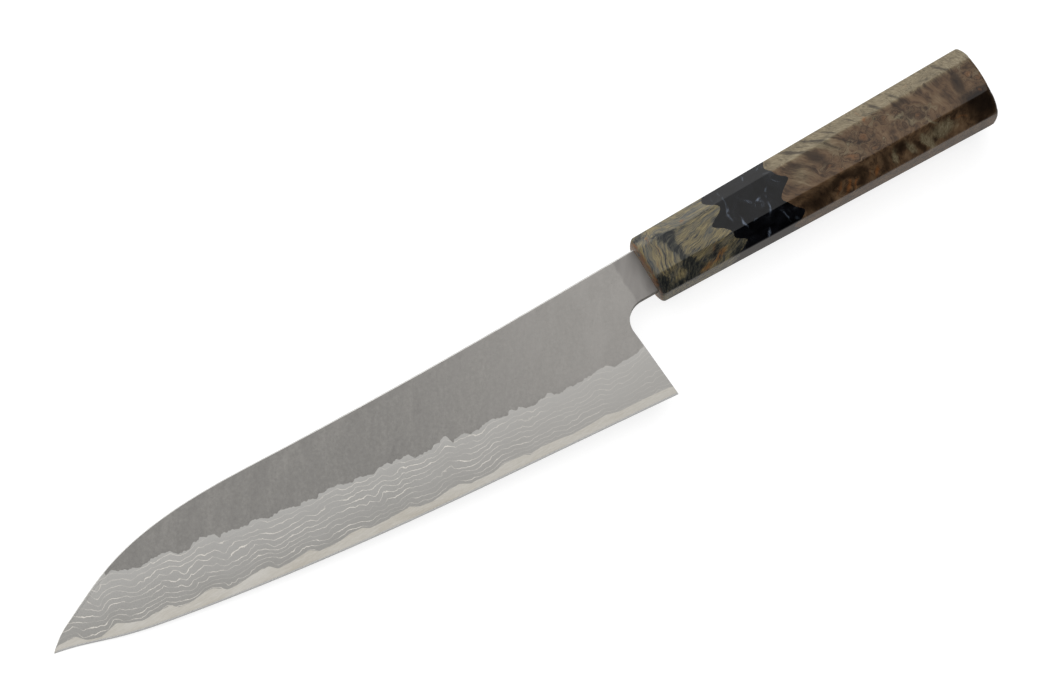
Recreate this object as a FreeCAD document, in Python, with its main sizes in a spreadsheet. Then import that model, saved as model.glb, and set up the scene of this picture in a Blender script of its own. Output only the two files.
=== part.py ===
"""Gyuto chef knife with an octagonal burl and resin handle.

The knife is drawn in its own axes: the origin is the centre of the handle's front face, +X
runs along the handle to its butt, +Y is the spine side and +Z the left side of the blade.
Every piece then gets one common Placement, which lays the knife on its right side with the
tip and the handle's front edge on the ground.
"""
import FreeCAD, Part
import math
import os
import Sketcher

from FreeCAD import Vector

# Driving dimensions, in millimetres. The "reach" values run forward from the handle's front
# face, and the "rise" and "drop" values run up and down from the handle's axis.
SIZES = {
    # blade outline
    "blade_reach": 219.8,
    "tip_drop": 13.8,
    "heel_reach": 11.3,
    "heel_drop": 39.6,
    "neck_length": 6.0,
    "neck_rise": 7.9,
    "neck_drop": 7.6,
    "choil_radius": 7.3,
    # blade section
    "spine_thickness": 2.8,
    "tip_thickness": 1.3,
    "core_thickness": 0.70,
    "core_tip_thickness": 0.41,
    "bevel_width_heel": 17.2,
    "bevel_width_tip": 20.4,
    "edge_bevel_width": 0.6,
    "edge_shoulder_thickness": 0.26,
    "edge_land_thickness": 0.06,
    # hidden tang
    "tang_width": 10.0,
    "tang_end_width": 6.0,
    "tang_thickness": 2.6,
    # handle
    "handle_length": 123.0,
    "front_height": 20.9,
    "front_width": 19.6,
    "front_facet": 5.37,
    "butt_height": 25.0,
    "butt_width": 23.9,
    "butt_facet": 6.35,
    "front_chamfer": 1.0,
    "butt_chamfer": 0.6,
    "resin_start": 27.3,
    "resin_end": 49.6,
    # tang fitting inside the handle
    "front_wall": 4.0,
    "butt_wall": 17.0,
    "dowel_wall": 1.2,
    "tang_clearance": 0.3,
    "tang_end_gap": 11.0,
}

# Free points of the blade's spine and edge. The first value is the share of the way from the
# rear end of the curve to the tip, and the second is the share of its fall or rise.
SPINE_POINTS = (
    (0.118, 0.023), (0.320, 0.046), (0.475, 0.037), (0.592, 0.015), (0.687, -0.002),
    (0.787, 0.066), (0.878, 0.298), (0.957, 0.680), (0.986, 0.862),
)
EDGE_POINTS = (
    (0.234, 0.136), (0.425, 0.252), (0.617, 0.411), (0.809, 0.628), (0.905, 0.790), (0.977, 0.962),
)

# Where burl gives way to resin the natural outer skin of the burl makes a lumpy wall. Each
# lump is (y, z, shift along X, radius), added to the flat wall that it grows on.
FRONT_LUMPS = (
    (9.0, 7.5, -1.7, 3.0), (3.9, 10.3, 2.0, 1.9), (-0.4, 10.3, -3.4, 1.9), (-5.4, 10.3, 1.3, 2.0),
    (-8.9, 6.9, 4.6, 2.2), (-11.0, 2.0, 0.8, 2.6), (-10.4, -4.5, -2.4, 3.0), (-4.0, -10.0, 2.2, 2.6),
    (3.5, -10.0, -2.6, 2.8), (8.6, -7.0, 2.4, 2.4), (10.4, 0.5, 1.4, 2.6),
)
REAR_LUMPS = (
    (8.5, 8.0, -1.3, 3.0), (1.4, 10.7, 3.0, 1.9), (-3.8, 10.6, -2.2, 2.2), (-9.6, 6.7, 3.0, 2.4),
    (-11.6, 1.5, -1.6, 2.8), (-9.4, -6.4, 2.4, 2.8), (-3.0, -10.7, -2.4, 2.8), (4.5, -10.7, 2.6, 2.6),
    (9.6, -6.4, -1.8, 2.4), (11.0, 1.5, 1.6, 2.8),
)

LARGE = 60.0        # reach of the blocks that divide the handle
OVERCUT = 1.2       # how far the grinding faces run on past the bevel's upper border
WALL_STEP = 1.0     # spacing of the points that shape a lumpy wall


class Size:
    """The sheet's values, read back by name."""

    def __init__(self, sheet):
        self.sheet = sheet

    def __getattr__(self, name):
        return float(self.sheet.get(name))


def make_sheet(doc):
    """Spreadsheet with one named cell for each driving dimension."""
    sheet = doc.addObject("Spreadsheet::Sheet", "Sizes")
    for row, (name, value) in enumerate(SIZES.items(), 1):
        sheet.set("A%d" % row, name)
        sheet.set("B%d" % row, str(value))
        sheet.setAlias("B%d" % row, name)
    doc.recompute()
    return sheet


def cell(name):
    """Expression that names one cell of the sheet."""
    return "Sizes." + name


# Sizes that follow from the cells above, as expressions.
SLOT_WIDTH = "({0} + 2 * {1})".format(cell("tang_width"), cell("tang_clearance"))
SLOT_THICKNESS = "({0} + 2 * {1})".format(cell("tang_thickness"), cell("tang_clearance"))
DOWEL_DIAMETER = "({0} + 2 * {1})".format(SLOT_WIDTH, cell("dowel_wall"))
SLOT_LENGTH = "({0} - {1})".format(cell("handle_length"), cell("butt_wall"))
DOWEL_LENGTH = "({0} - {1})".format(SLOT_LENGTH, cell("front_wall"))
TANG_LENGTH = "({0} - {1})".format(SLOT_LENGTH, cell("tang_end_gap"))


def new_sketch(body, name, role):
    """Empty sketch on one of the body's own origin planes."""
    plane = [item for item in body.Origin.OriginFeatures if item.Role == role][0]
    sketch = body.newObject("Sketcher::SketchObject", name)
    sketch.AttachmentSupport = [(plane, "")]
    sketch.MapMode = "FlatFace"
    return sketch


def polygon(sketch, corners):
    """Closed polygon whose corners are pairs of expressions."""
    count = len(corners)
    turn = 2 * math.pi / count
    guess = [Vector(10 * math.cos(i * turn), 10 * math.sin(i * turn), 0) for i in range(count)]
    for i in range(count):
        sketch.addGeometry(Part.LineSegment(guess[i], guess[(i + 1) % count]))
    for i in range(count):
        sketch.addConstraint(Sketcher.Constraint("Coincident", i, 2, (i + 1) % count, 1))
    for i, corner in enumerate(corners):
        for direction, expression in zip(("DistanceX", "DistanceY"), corner):
            index = sketch.addConstraint(Sketcher.Constraint(direction, -1, 1, i, 1, 1.0))
            sketch.setExpression("Constraints[%d]" % index, expression)


def pad(body, sketch, length, midplane=True):
    """Pad of a sketch, its length bound to an expression."""
    feature = body.newObject("PartDesign::Pad", sketch.Name + "_pad")
    feature.Profile = sketch
    feature.Midplane = midplane
    feature.setExpression("Length", length)
    return feature


def combine(doc, kind, name, shapes):
    """Boolean of whole objects: Cut takes a base and a tool, MultiCommon any number."""
    result = doc.addObject("Part::" + kind, name)
    if kind == "Cut":
        result.Base, result.Tool = shapes
    else:
        result.Shapes = shapes
    return result


# ---------------------------------------------------------------- blade

def spine_curve(size):
    """Spine from the handle's front face to the tip."""
    fall = size.neck_rise + size.tip_drop
    points = [Vector(0, size.neck_rise, 0)]
    for along, drop in SPINE_POINTS:
        points.append(Vector(-along * size.blade_reach, size.neck_rise - drop * fall, 0))
    points.append(Vector(-size.blade_reach, -size.tip_drop, 0))
    curve = Part.BSplineCurve()
    curve.interpolate(points)
    return curve


def edge_curve(size, lift_rear=0.0, lift_tip=0.0, z_rear=0.0, z_tip=0.0):
    """Cutting edge from heel to tip, or the same curve raised by a tapering width."""
    length = size.blade_reach - size.heel_reach
    rise = size.heel_drop - size.tip_drop
    points = []
    for along, up in ((0.0, 0.0),) + EDGE_POINTS + ((1.0, 1.0),):
        points.append(Vector(
            -size.heel_reach - along * length,
            -size.heel_drop + up * rise + lift_rear + along * (lift_tip - lift_rear),
            z_rear + along * (z_tip - z_rear)))
    curve = Part.BSplineCurve()
    curve.interpolate(points)
    return curve


def blade_sketch(body, size):
    """Outline of blade and neck: spine, edge, slanting heel, round choil and neck."""
    sketch = new_sketch(body, "blade_outline", "XY_Plane")
    spine = sketch.addGeometry(spine_curve(size))
    edge = sketch.addGeometry(edge_curve(size))
    sketch.addConstraint(Sketcher.Constraint("Block", spine))
    sketch.addConstraint(Sketcher.Constraint("Block", edge))
    choil_x = -size.neck_length
    choil_y = -size.neck_drop - size.choil_radius
    choil_left = Vector(choil_x - size.choil_radius, choil_y, 0)
    neck_end = Vector(choil_x, -size.neck_drop, 0)
    heel = Vector(-size.heel_reach, -size.heel_drop, 0)
    root = Vector(0, -size.neck_drop, 0)
    circle = Part.Circle(Vector(choil_x, choil_y, 0), Vector(0, 0, 1), size.choil_radius)
    back = sketch.addGeometry(Part.LineSegment(Vector(0, size.neck_rise, 0), root))
    under = sketch.addGeometry(Part.LineSegment(root, neck_end))
    choil = sketch.addGeometry(Part.ArcOfCircle(circle, math.pi / 2, math.pi))
    heel_line = sketch.addGeometry(Part.LineSegment(choil_left, heel))
    for first, end, second, start in ((spine, 1, back, 1), (back, 2, under, 1),
                                      (choil, 2, heel_line, 1), (heel_line, 2, edge, 1)):
        sketch.addConstraint(Sketcher.Constraint("Coincident", first, end, second, start))
    sketch.addConstraint(Sketcher.Constraint("Tangent", under, 2, choil, 1))
    sketch.addConstraint(Sketcher.Constraint("Horizontal", under))
    radius = sketch.addConstraint(Sketcher.Constraint("Radius", choil, size.choil_radius))
    sketch.setExpression("Constraints[%d]" % radius, cell("choil_radius"))
    return sketch


def tang_sketch(body):
    """Tang outline, tapering to its end."""
    sketch = new_sketch(body, "tang_outline", "XY_Plane")
    front, end = cell("tang_width") + " / 2", cell("tang_end_width") + " / 2"
    overlap = "-0.5 * " + cell("neck_length")
    polygon(sketch, [(overlap, "-(%s)" % front), ("0", "-(%s)" % front),
                     (TANG_LENGTH, "-(%s)" % end), (TANG_LENGTH, end), ("0", front), (overlap, front)])
    return sketch


def taper_pocket(body, name, side):
    """Cut that makes the face on one side of the blade run thinner towards the tip."""
    sketch = new_sketch(body, name, "XZ_Plane")
    reach, sign = cell("blade_reach"), "%d * " % side
    thick, thin = cell("spine_thickness"), cell("tip_thickness")
    polygon(sketch, [("0", sign + thick + " / 2"), ("-" + reach, sign + thin + " / 2"),
                     ("-1.1 * " + reach, sign + thin + " / 2"), ("-1.1 * " + reach, sign + thick),
                     ("0", sign + thick)])
    pocket = body.newObject("PartDesign::Pocket", name + "_cut")
    pocket.Profile = sketch
    pocket.Type = "ThroughAll"
    pocket.Midplane = True


def blade_blank(doc, size):
    """Forged blank before grinding: blade, neck and tang with tapering flat faces."""
    body = doc.addObject("PartDesign::Body", "blade_blank")
    pad(body, blade_sketch(body, size), cell("spine_thickness"))
    pad(body, tang_sketch(body), cell("tang_thickness"))
    taper_pocket(body, "left_taper", 1)
    taper_pocket(body, "right_taper", -1)
    return body


def bevel_cutters(doc, size):
    """Everything that grinding takes off: a wide bevel and a small cutting bevel each side."""
    drop_per_mm = (size.spine_thickness - size.tip_thickness) / 2 / size.blade_reach
    top_rear = size.spine_thickness / 2 - drop_per_mm * size.heel_reach
    top_tip = size.tip_thickness / 2
    low = size.edge_shoulder_thickness / 2
    land = size.edge_land_thickness / 2
    small = size.edge_bevel_width
    depth = 4 * size.spine_thickness
    solids = []
    for side in (1, -1):
        shoulder = edge_curve(size, small, small, side * low, side * low)
        upper = edge_curve(
            size,
            small + OVERCUT * (size.bevel_width_heel - small),
            small + OVERCUT * (size.bevel_width_tip - small),
            side * (low + OVERCUT * (top_rear - low)),
            side * (low + OVERCUT * (top_tip - low)))
        below = edge_curve(size, -small, -small, side * (2 * land - low), side * (2 * land - low))
        for lower_curve, upper_curve in ((shoulder, upper), (below, shoulder)):
            face = Part.makeRuledSurface(lower_curve.toShape(), upper_curve.toShape())
            solids.append(face.extrude(Vector(0, 0, side * depth)))
    cutters = doc.addObject("Part::Feature", "bevel_cutters")
    cutters.Shape = Part.makeCompound(solids)
    return cutters


def core_slab(doc):
    """Tapering slab of core steel, wider than the blade."""
    body = doc.addObject("PartDesign::Body", "core_slab")
    sketch = new_sketch(body, "core_section", "XZ_Plane")
    rear, tip = cell("core_thickness") + " / 2", cell("core_tip_thickness") + " / 2"
    front, back = "-1.1 * " + cell("blade_reach"), "1.1 * " + TANG_LENGTH
    polygon(sketch, [("0", rear), (front, tip), (front, "-" + tip), ("0", "-" + rear),
                     (back, "-" + rear), (back, rear)])
    pad(body, sketch, "4 * " + cell("heel_drop"))
    return body


def side_block(doc, name, side):
    """Everything beyond the core on one side of the blade."""
    body = doc.addObject("PartDesign::Body", name)
    sketch = new_sketch(body, name + "_section", "XZ_Plane")
    sign = "%d * " % side
    rear, tip = sign + cell("core_thickness") + " / 2", sign + cell("core_tip_thickness") + " / 2"
    outer = sign + cell("spine_thickness")
    front, back = "-1.1 * " + cell("blade_reach"), "1.1 * " + TANG_LENGTH
    polygon(sketch, [("0", rear), (front, tip), (front, outer), (back, outer), (back, rear)])
    pad(body, sketch, "4 * " + cell("heel_drop"))
    return body


def blade_pieces(doc, size):
    """Core and two claddings, each a share of the ground blade."""
    ground = combine(doc, "Cut", "ground_blade", [blade_blank(doc, size), bevel_cutters(doc, size)])
    core = combine(doc, "MultiCommon", "core_steel", [ground, core_slab(doc)])
    left = combine(doc, "MultiCommon", "cladding_left", [ground, side_block(doc, "left_side", 1)])
    right = combine(doc, "MultiCommon", "cladding_right", [ground, side_block(doc, "right_side", -1)])
    return ground, [core, left, right]


# ---------------------------------------------------------------- handle

def octagon(body, name, end, place, inset="0"):
    """Octagon across the handle at one place, shrunk evenly by an inset for a chamfer."""
    sketch = new_sketch(body, name, "YZ_Plane")
    sketch.setExpression("AttachmentOffset.Base.z", place)
    high = "(%s / 2 - %s)" % (cell(end + "_height"), inset)
    wide = "(%s / 2 - %s)" % (cell(end + "_width"), inset)
    facet = "(%s - (2 - sqrt(2)) * %s)" % (cell(end + "_facet"), inset)
    side, top = "(%s - %s)" % (wide, facet), "(%s - %s)" % (high, facet)
    polygon(sketch, [(high, side), (top, wide), ("-" + top, wide), ("-" + high, side),
                     ("-" + high, "-" + side), ("-" + top, "-" + wide), (top, "-" + wide),
                     (high, "-" + side)])
    return sketch


def handle_blank(doc):
    """Whole outside of the handle: an octagon that grows towards the butt, chamfered at both ends."""
    body = doc.addObject("PartDesign::Body", "handle_blank")
    length, first, last = cell("handle_length"), cell("front_chamfer"), cell("butt_chamfer")
    rings = [octagon(body, "front_face", "front", "0", first),
             octagon(body, "front_ring", "front", first),
             octagon(body, "butt_ring", "butt", "%s - %s" % (length, last)),
             octagon(body, "butt_face", "butt", length, last)]
    loft = body.newObject("PartDesign::AdditiveLoft", "octagon_loft")
    loft.Profile = rings[0]
    loft.Sections = rings[1:]
    loft.Ruled = True
    return body


def lumpy_wall(place, lumps, y, z):
    """X position of a burl's outer skin at one point of the handle's section."""
    return place + sum(shift * math.exp(-((y - cy) ** 2 + (z - cz) ** 2) / radius ** 2)
                       for cy, cz, shift, radius in lumps)


def wall_block(doc, name, place, lumps, depth, size):
    """Block that ends in a lumpy wall and runs from there along X by depth."""
    reach = max(size.butt_height, size.butt_width) / 2 + 2
    steps = math.ceil(reach / WALL_STEP)
    grid = [i * WALL_STEP for i in range(-steps, steps + 1)]
    surface = Part.BSplineSurface()
    surface.interpolate([[Vector(lumpy_wall(place, lumps, y, z), y, z) for z in grid] for y in grid])
    block = doc.addObject("Part::Feature", name)
    block.Shape = surface.toShape().extrude(Vector(depth, 0, 0))
    return block


def tang_slot(doc):
    """Slot for the tang, from the front face to the end of the dowel."""
    slot = doc.addObject("Part::Box", "tang_slot")
    slot.setExpression("Length", SLOT_LENGTH)
    slot.setExpression("Width", SLOT_WIDTH)
    slot.setExpression("Height", SLOT_THICKNESS)
    slot.setExpression("Placement.Base.y", "-%s / 2" % SLOT_WIDTH)
    slot.setExpression("Placement.Base.z", "-%s / 2" % SLOT_THICKNESS)
    return slot


def dowel_bore(doc):
    """Round bore behind the front wall, filled by the dowel."""
    bore = doc.addObject("Part::Cylinder", "dowel_bore")
    bore.setExpression("Radius", DOWEL_DIAMETER + " / 2")
    bore.setExpression("Height", DOWEL_LENGTH)
    bore.Placement = FreeCAD.Placement(Vector(0, 0, 0), FreeCAD.Rotation(Vector(0, 1, 0), 90))
    bore.setExpression("Placement.Base.x", cell("front_wall"))
    return bore


def tang_dowel(doc):
    """Dowel with a slot sawn along its whole length."""
    body = doc.addObject("PartDesign::Body", "tang_dowel")
    sketch = new_sketch(body, "dowel_circle", "YZ_Plane")
    sketch.setExpression("AttachmentOffset.Base.z", cell("front_wall"))
    circle = sketch.addGeometry(Part.Circle(Vector(0, 0, 0), Vector(0, 0, 1), 1.0))
    sketch.addConstraint(Sketcher.Constraint("Coincident", circle, 3, -1, 1))
    width = sketch.addConstraint(Sketcher.Constraint("Diameter", circle, 2.0))
    sketch.setExpression("Constraints[%d]" % width, DOWEL_DIAMETER)
    pad(body, sketch, DOWEL_LENGTH, midplane=False)
    slot = new_sketch(body, "slot_section", "YZ_Plane")
    high, wide = SLOT_WIDTH + " / 2", SLOT_THICKNESS + " / 2"
    polygon(slot, [("-" + high, "-" + wide), (high, "-" + wide), (high, wide), ("-" + high, wide)])
    pocket = body.newObject("PartDesign::Pocket", "slot_cut")
    pocket.Profile = slot
    pocket.Type = "ThroughAll"
    pocket.Reversed = True
    return body


def handle_pieces(doc, size, ground):
    """Two burl blocks, the resin between them, the dowel and the epoxy round the tang."""
    outside = handle_blank(doc)
    walls = {"front": (size.resin_start, FRONT_LUMPS), "rear": (size.resin_end, REAR_LUMPS)}
    before_resin = wall_block(doc, "before_resin", *walls["front"], -LARGE, size)
    past_front = wall_block(doc, "past_front_wall", *walls["front"], LARGE, size)
    before_rear = wall_block(doc, "before_rear_wall", *walls["rear"], -LARGE, size)
    after_resin = wall_block(doc, "after_resin", *walls["rear"], 2 * LARGE, size)
    slot = tang_slot(doc)
    inside = doc.addObject("Part::Fuse", "tang_cavity")
    inside.Base, inside.Tool = slot, dowel_bore(doc)
    shell = combine(doc, "Cut", "hollow_handle", [outside, inside])
    front = combine(doc, "MultiCommon", "front_burl_block", [shell, before_resin])
    resin = combine(doc, "MultiCommon", "resin_casting", [shell, past_front, before_rear])
    rear = combine(doc, "MultiCommon", "rear_burl_block", [shell, after_resin])
    epoxy = combine(doc, "Cut", "epoxy_bed", [slot, ground])
    return [front, resin, rear, tang_dowel(doc), epoxy]


# ---------------------------------------------------------------- assembly

def rest_placement(size, pieces):
    """Placement of the knife lying on its right side, centred over the origin."""
    contact_x = size.front_chamfer
    growth = (size.butt_width - size.front_width) / 2 / size.handle_length
    contact_drop = size.front_width / 2 + growth * contact_x
    pitch = -math.degrees(math.atan2(contact_drop, size.blade_reach + contact_x))
    turn = FreeCAD.Rotation(Vector(0, 1, 0), pitch)
    whole = Part.makeCompound([piece.Shape for piece in pieces])
    whole.Placement = FreeCAD.Placement(Vector(0, 0, 0), turn)
    box = whole.optimalBoundingBox(False, False)
    return FreeCAD.Placement(Vector(-box.Center.x, -box.Center.y, -box.ZMin), turn)


def check(doc, pieces):
    """Stop if any object failed, or if a piece isn't one sound solid."""
    for item in doc.Objects:
        if "Invalid" in item.State or "Error" in item.State:
            raise RuntimeError("%s failed to build" % item.Label)
    for piece in pieces:
        shape = piece.Shape
        if shape.isNull() or not shape.isValid() or len(shape.Solids) != 1:
            raise RuntimeError("%s isn't one sound solid" % piece.Label)


def build():
    """Make the document, check it and write one STEP file for each piece."""
    doc = FreeCAD.newDocument("chef_knife")
    size = Size(make_sheet(doc))
    ground, pieces = blade_pieces(doc, size)
    doc.recompute()
    pieces += handle_pieces(doc, size, ground)
    doc.recompute()
    check(doc, pieces)
    pose = rest_placement(size, pieces)
    for piece in pieces:
        piece.Placement = pose
    check(doc, pieces)
    os.makedirs("parts", exist_ok=True)
    for piece in pieces:
        piece.Shape.exportStep("parts/%s.step" % piece.Label)
        print("%s %.1f mm3" % (piece.Label, piece.Shape.Volume))


build()
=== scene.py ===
"""Looks of the gyuto: blade with forged skin, layered bevel and bare edge, burl and resin handle."""
import math

import bmesh
import bpy
import numpy as np
from mathutils import Matrix, Vector, noise


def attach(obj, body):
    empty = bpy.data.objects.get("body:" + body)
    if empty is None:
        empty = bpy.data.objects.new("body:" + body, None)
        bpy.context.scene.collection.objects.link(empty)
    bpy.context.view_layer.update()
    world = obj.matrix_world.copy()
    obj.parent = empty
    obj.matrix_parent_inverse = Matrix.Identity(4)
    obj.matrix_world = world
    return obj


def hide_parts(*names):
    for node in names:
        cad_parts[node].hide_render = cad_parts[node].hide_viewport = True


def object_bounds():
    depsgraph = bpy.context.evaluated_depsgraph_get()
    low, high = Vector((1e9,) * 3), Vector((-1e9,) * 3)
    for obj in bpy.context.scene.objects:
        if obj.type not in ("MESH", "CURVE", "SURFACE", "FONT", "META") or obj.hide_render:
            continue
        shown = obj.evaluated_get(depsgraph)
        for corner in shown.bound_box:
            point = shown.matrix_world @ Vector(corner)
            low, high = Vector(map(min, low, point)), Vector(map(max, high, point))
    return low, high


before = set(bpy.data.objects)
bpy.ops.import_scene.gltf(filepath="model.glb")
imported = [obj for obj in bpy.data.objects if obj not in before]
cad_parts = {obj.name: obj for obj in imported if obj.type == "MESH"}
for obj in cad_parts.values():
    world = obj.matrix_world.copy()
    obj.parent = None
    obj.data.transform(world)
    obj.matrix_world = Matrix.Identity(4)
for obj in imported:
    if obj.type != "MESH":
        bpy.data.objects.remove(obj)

CAD_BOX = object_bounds()
MM = 0.001

# ---------------------------------------------------------------- sizes, in millimetres
# The knife's own axes: origin at the centre of the handle's front face, +X to the butt,
# +Y to the spine, +Z out of the left side. These repeat the values that the solids are made from.
BLADE_REACH, TIP_DROP = 219.8, 13.8
HEEL_REACH, HEEL_DROP = 11.3, 39.6
NECK_LENGTH, NECK_RISE, NECK_DROP = 6.0, 7.9, 7.6
CHOIL_RADIUS = 7.3
SPINE_THICKNESS, TIP_THICKNESS = 2.8, 1.3
CORE_THICKNESS, CORE_TIP_THICKNESS = 0.70, 0.41
BEVEL_WIDTH_HEEL, BEVEL_WIDTH_TIP = 17.2, 20.4
EDGE_BEVEL_WIDTH, SHOULDER_THICKNESS, LAND_THICKNESS = 0.6, 0.26, 0.06
TANG_WIDTH, TANG_END_WIDTH, TANG_THICKNESS, TANG_LENGTH = 10.0, 6.0, 2.6, 95.0
HANDLE_LENGTH, FRONT_CHAMFER, BUTT_CHAMFER = 123.0, 1.0, 0.6
FRONT_OCTAGON = (20.9, 19.6, 5.37)      # height, width and facet at the front ring
BUTT_OCTAGON = (25.0, 23.9, 6.35)       # the same at the butt ring
RESIN_START, RESIN_END = 27.3, 49.6
SLOT_HEIGHT, SLOT_WIDTH, FRONT_WALL = 10.6, 3.2, 4.0
BORE_RADIUS, BORE_END = 6.5, 106.0
ARRIS_RADIUS, BUTT_EASING = 0.7, 2.6    # the arrises are rounded more just before the butt
BUTT_SAG, FRONT_SAG = 0.5, 0.3          # how far the end edges fall back at the arrises

SPINE_POINTS = (
    (0.118, 0.023), (0.320, 0.046), (0.475, 0.037), (0.592, 0.015), (0.687, -0.002),
    (0.787, 0.066), (0.878, 0.298), (0.957, 0.680), (0.986, 0.862),
)
EDGE_POINTS = (
    (0.234, 0.136), (0.425, 0.252), (0.617, 0.411), (0.809, 0.628), (0.905, 0.790), (0.977, 0.962),
)
FRONT_LUMPS = (
    (9.0, 7.5, -1.7, 3.0), (3.9, 10.3, 2.0, 1.9), (-0.4, 10.3, -3.4, 1.9), (-5.4, 10.3, 1.3, 2.0),
    (-8.9, 6.9, 4.6, 2.2), (-11.0, 2.0, 0.8, 2.6), (-10.4, -4.5, -2.4, 3.0), (-4.0, -10.0, 2.2, 2.6),
    (3.5, -10.0, -2.6, 2.8), (8.6, -7.0, 2.4, 2.4), (10.4, 0.5, 1.4, 2.6),
)
REAR_LUMPS = (
    (8.5, 8.0, -1.3, 3.0), (1.4, 10.7, 3.0, 1.9), (-3.8, 10.6, -2.2, 2.2), (-9.6, 6.7, 3.0, 2.4),
    (-11.6, 1.5, -1.6, 2.8), (-9.4, -6.4, 2.4, 2.8), (-3.0, -10.7, -2.4, 2.8), (4.5, -10.7, 2.6, 2.6),
    (9.6, -6.4, -1.8, 2.4), (11.0, 1.5, 1.6, 2.8),
)

# Where the bright core comes out of the cladding, from the tip to the heel.
CORE_LINE = (
    (-219.8, -13.2), (-217.4, -12.2), (-211.4, -12.5), (-209.0, -15.1), (-205.0, -16.6),
    (-198.5, -15.1), (-195.5, -16.8), (-191.0, -18.5), (-181.4, -18.5), (-179.5, -20.4),
    (-175.8, -21.0), (-170.5, -20.3), (-167.4, -20.5), (-163.6, -23.1), (-160.6, -23.5),
    (-155.0, -22.9), (-149.0, -23.2), (-147.0, -25.2), (-143.0, -25.5), (-135.6, -25.1),
    (-133.3, -26.8), (-127.3, -27.4), (-122.0, -26.8), (-118.0, -27.1), (-116.0, -28.4),
    (-110.0, -28.8), (-102.0, -28.7), (-99.8, -30.1), (-95.3, -30.8), (-89.0, -30.2),
    (-84.7, -30.3), (-81.7, -31.9), (-74.0, -32.3), (-69.5, -31.6), (-62.7, -32.3),
    (-61.2, -33.3), (-57.4, -32.7), (-49.8, -33.5), (-46.8, -34.1), (-39.0, -34.2),
    (-34.7, -34.0), (-31.0, -35.1), (-24.0, -35.3), (-16.5, -35.6), (-12.0, -36.7), (0.0, -37.5),
)
# Lower border of the forged skin, from the spine near the tip to the choil.
SKIN_LINE = (
    (-219.8, 9.0), (-199.5, 9.0), (-199.0, -1.4), (-196.0, 0.3), (-192.5, 0.5), (-188.6, -1.9),
    (-184.0, -3.2), (-179.0, -2.7), (-173.5, -3.2), (-171.4, -5.6), (-168.0, -5.9), (-165.2, -5.0),
    (-158.8, -5.4), (-157.8, -7.6), (-155.0, -7.2), (-149.0, -8.4), (-145.4, -8.1), (-140.3, -10.3),
    (-139.6, -9.6), (-134.4, -10.0), (-131.2, -11.3), (-130.5, -10.4), (-125.8, -12.0), (-121.5, -10.9),
    (-117.4, -11.8), (-113.2, -13.0), (-112.6, -12.1), (-106.9, -14.0), (-103.5, -13.0), (-99.8, -14.0),
    (-94.0, -13.9), (-93.0, -16.1), (-86.2, -16.1), (-81.0, -14.7), (-80.2, -17.9), (-77.4, -16.9),
    (-73.0, -18.3), (-67.7, -17.3), (-60.6, -18.7), (-60.0, -18.0), (-52.9, -20.1), (-46.6, -19.1),
    (-44.4, -20.7), (-37.0, -20.9), (-28.4, -20.3), (-26.7, -22.2), (-18.8, -22.8), (-13.5, -20.9),
    (0.0, -20.9),
)

# Figure in the wood and resin, as soft marks on the unrolled side of the handle:
# x, girth from the middle of the side facet (+ to the spine), half length, half width, slant, amount.
FRONT_DARK = (
    (9.8, 4.4, 2.8, 1.8, 0, 1.3), (10.4, 1.0, 2.6, 1.5, 90, 1.2), (10.6, -2.8, 2.4, 1.3, 95, 1.1),
    (12.0, -6.8, 2.6, 1.8, 110, 1.3), (2.0, 10.6, 2.8, 1.8, 0, 0.8), (7.4, 6.8, 2.2, 1.4, 0, 0.7),
    (1.2, -9.5, 3.4, 2.0, 90, 0.9), (6.5, -12.0, 3.0, 1.4, 0, 0.8), (12.5, -11.5, 3.4, 1.8, 40, 0.9),
    (20.5, -8.2, 3.4, 0.9, 30, 0.5), (28.0, -12.2, 3.0, 1.2, 35, 0.7), (15.5, 4.6, 3.0, 0.7, 0, 0.5),
    (25.0, 5.0, 3.0, 0.8, -10, 0.5),
)
FRONT_WARM = (
    (4.3, 7.0, 2.8, 0.5, 84, 0.8), (5.4, 1.5, 2.4, 0.5, 80, 0.5), (17.0, 6.6, 1.0, 0.7, 0, 0.9),
    (16.5, -12.0, 2.4, 1.0, 20, 0.7), (22.0, -10.0, 3.6, 1.2, 32, 0.8), (21.0, -7.0, 2.6, 0.6, 30, 0.4),
    (3.0, -2.5, 2.0, 0.4, 70, 0.4),
)
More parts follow.
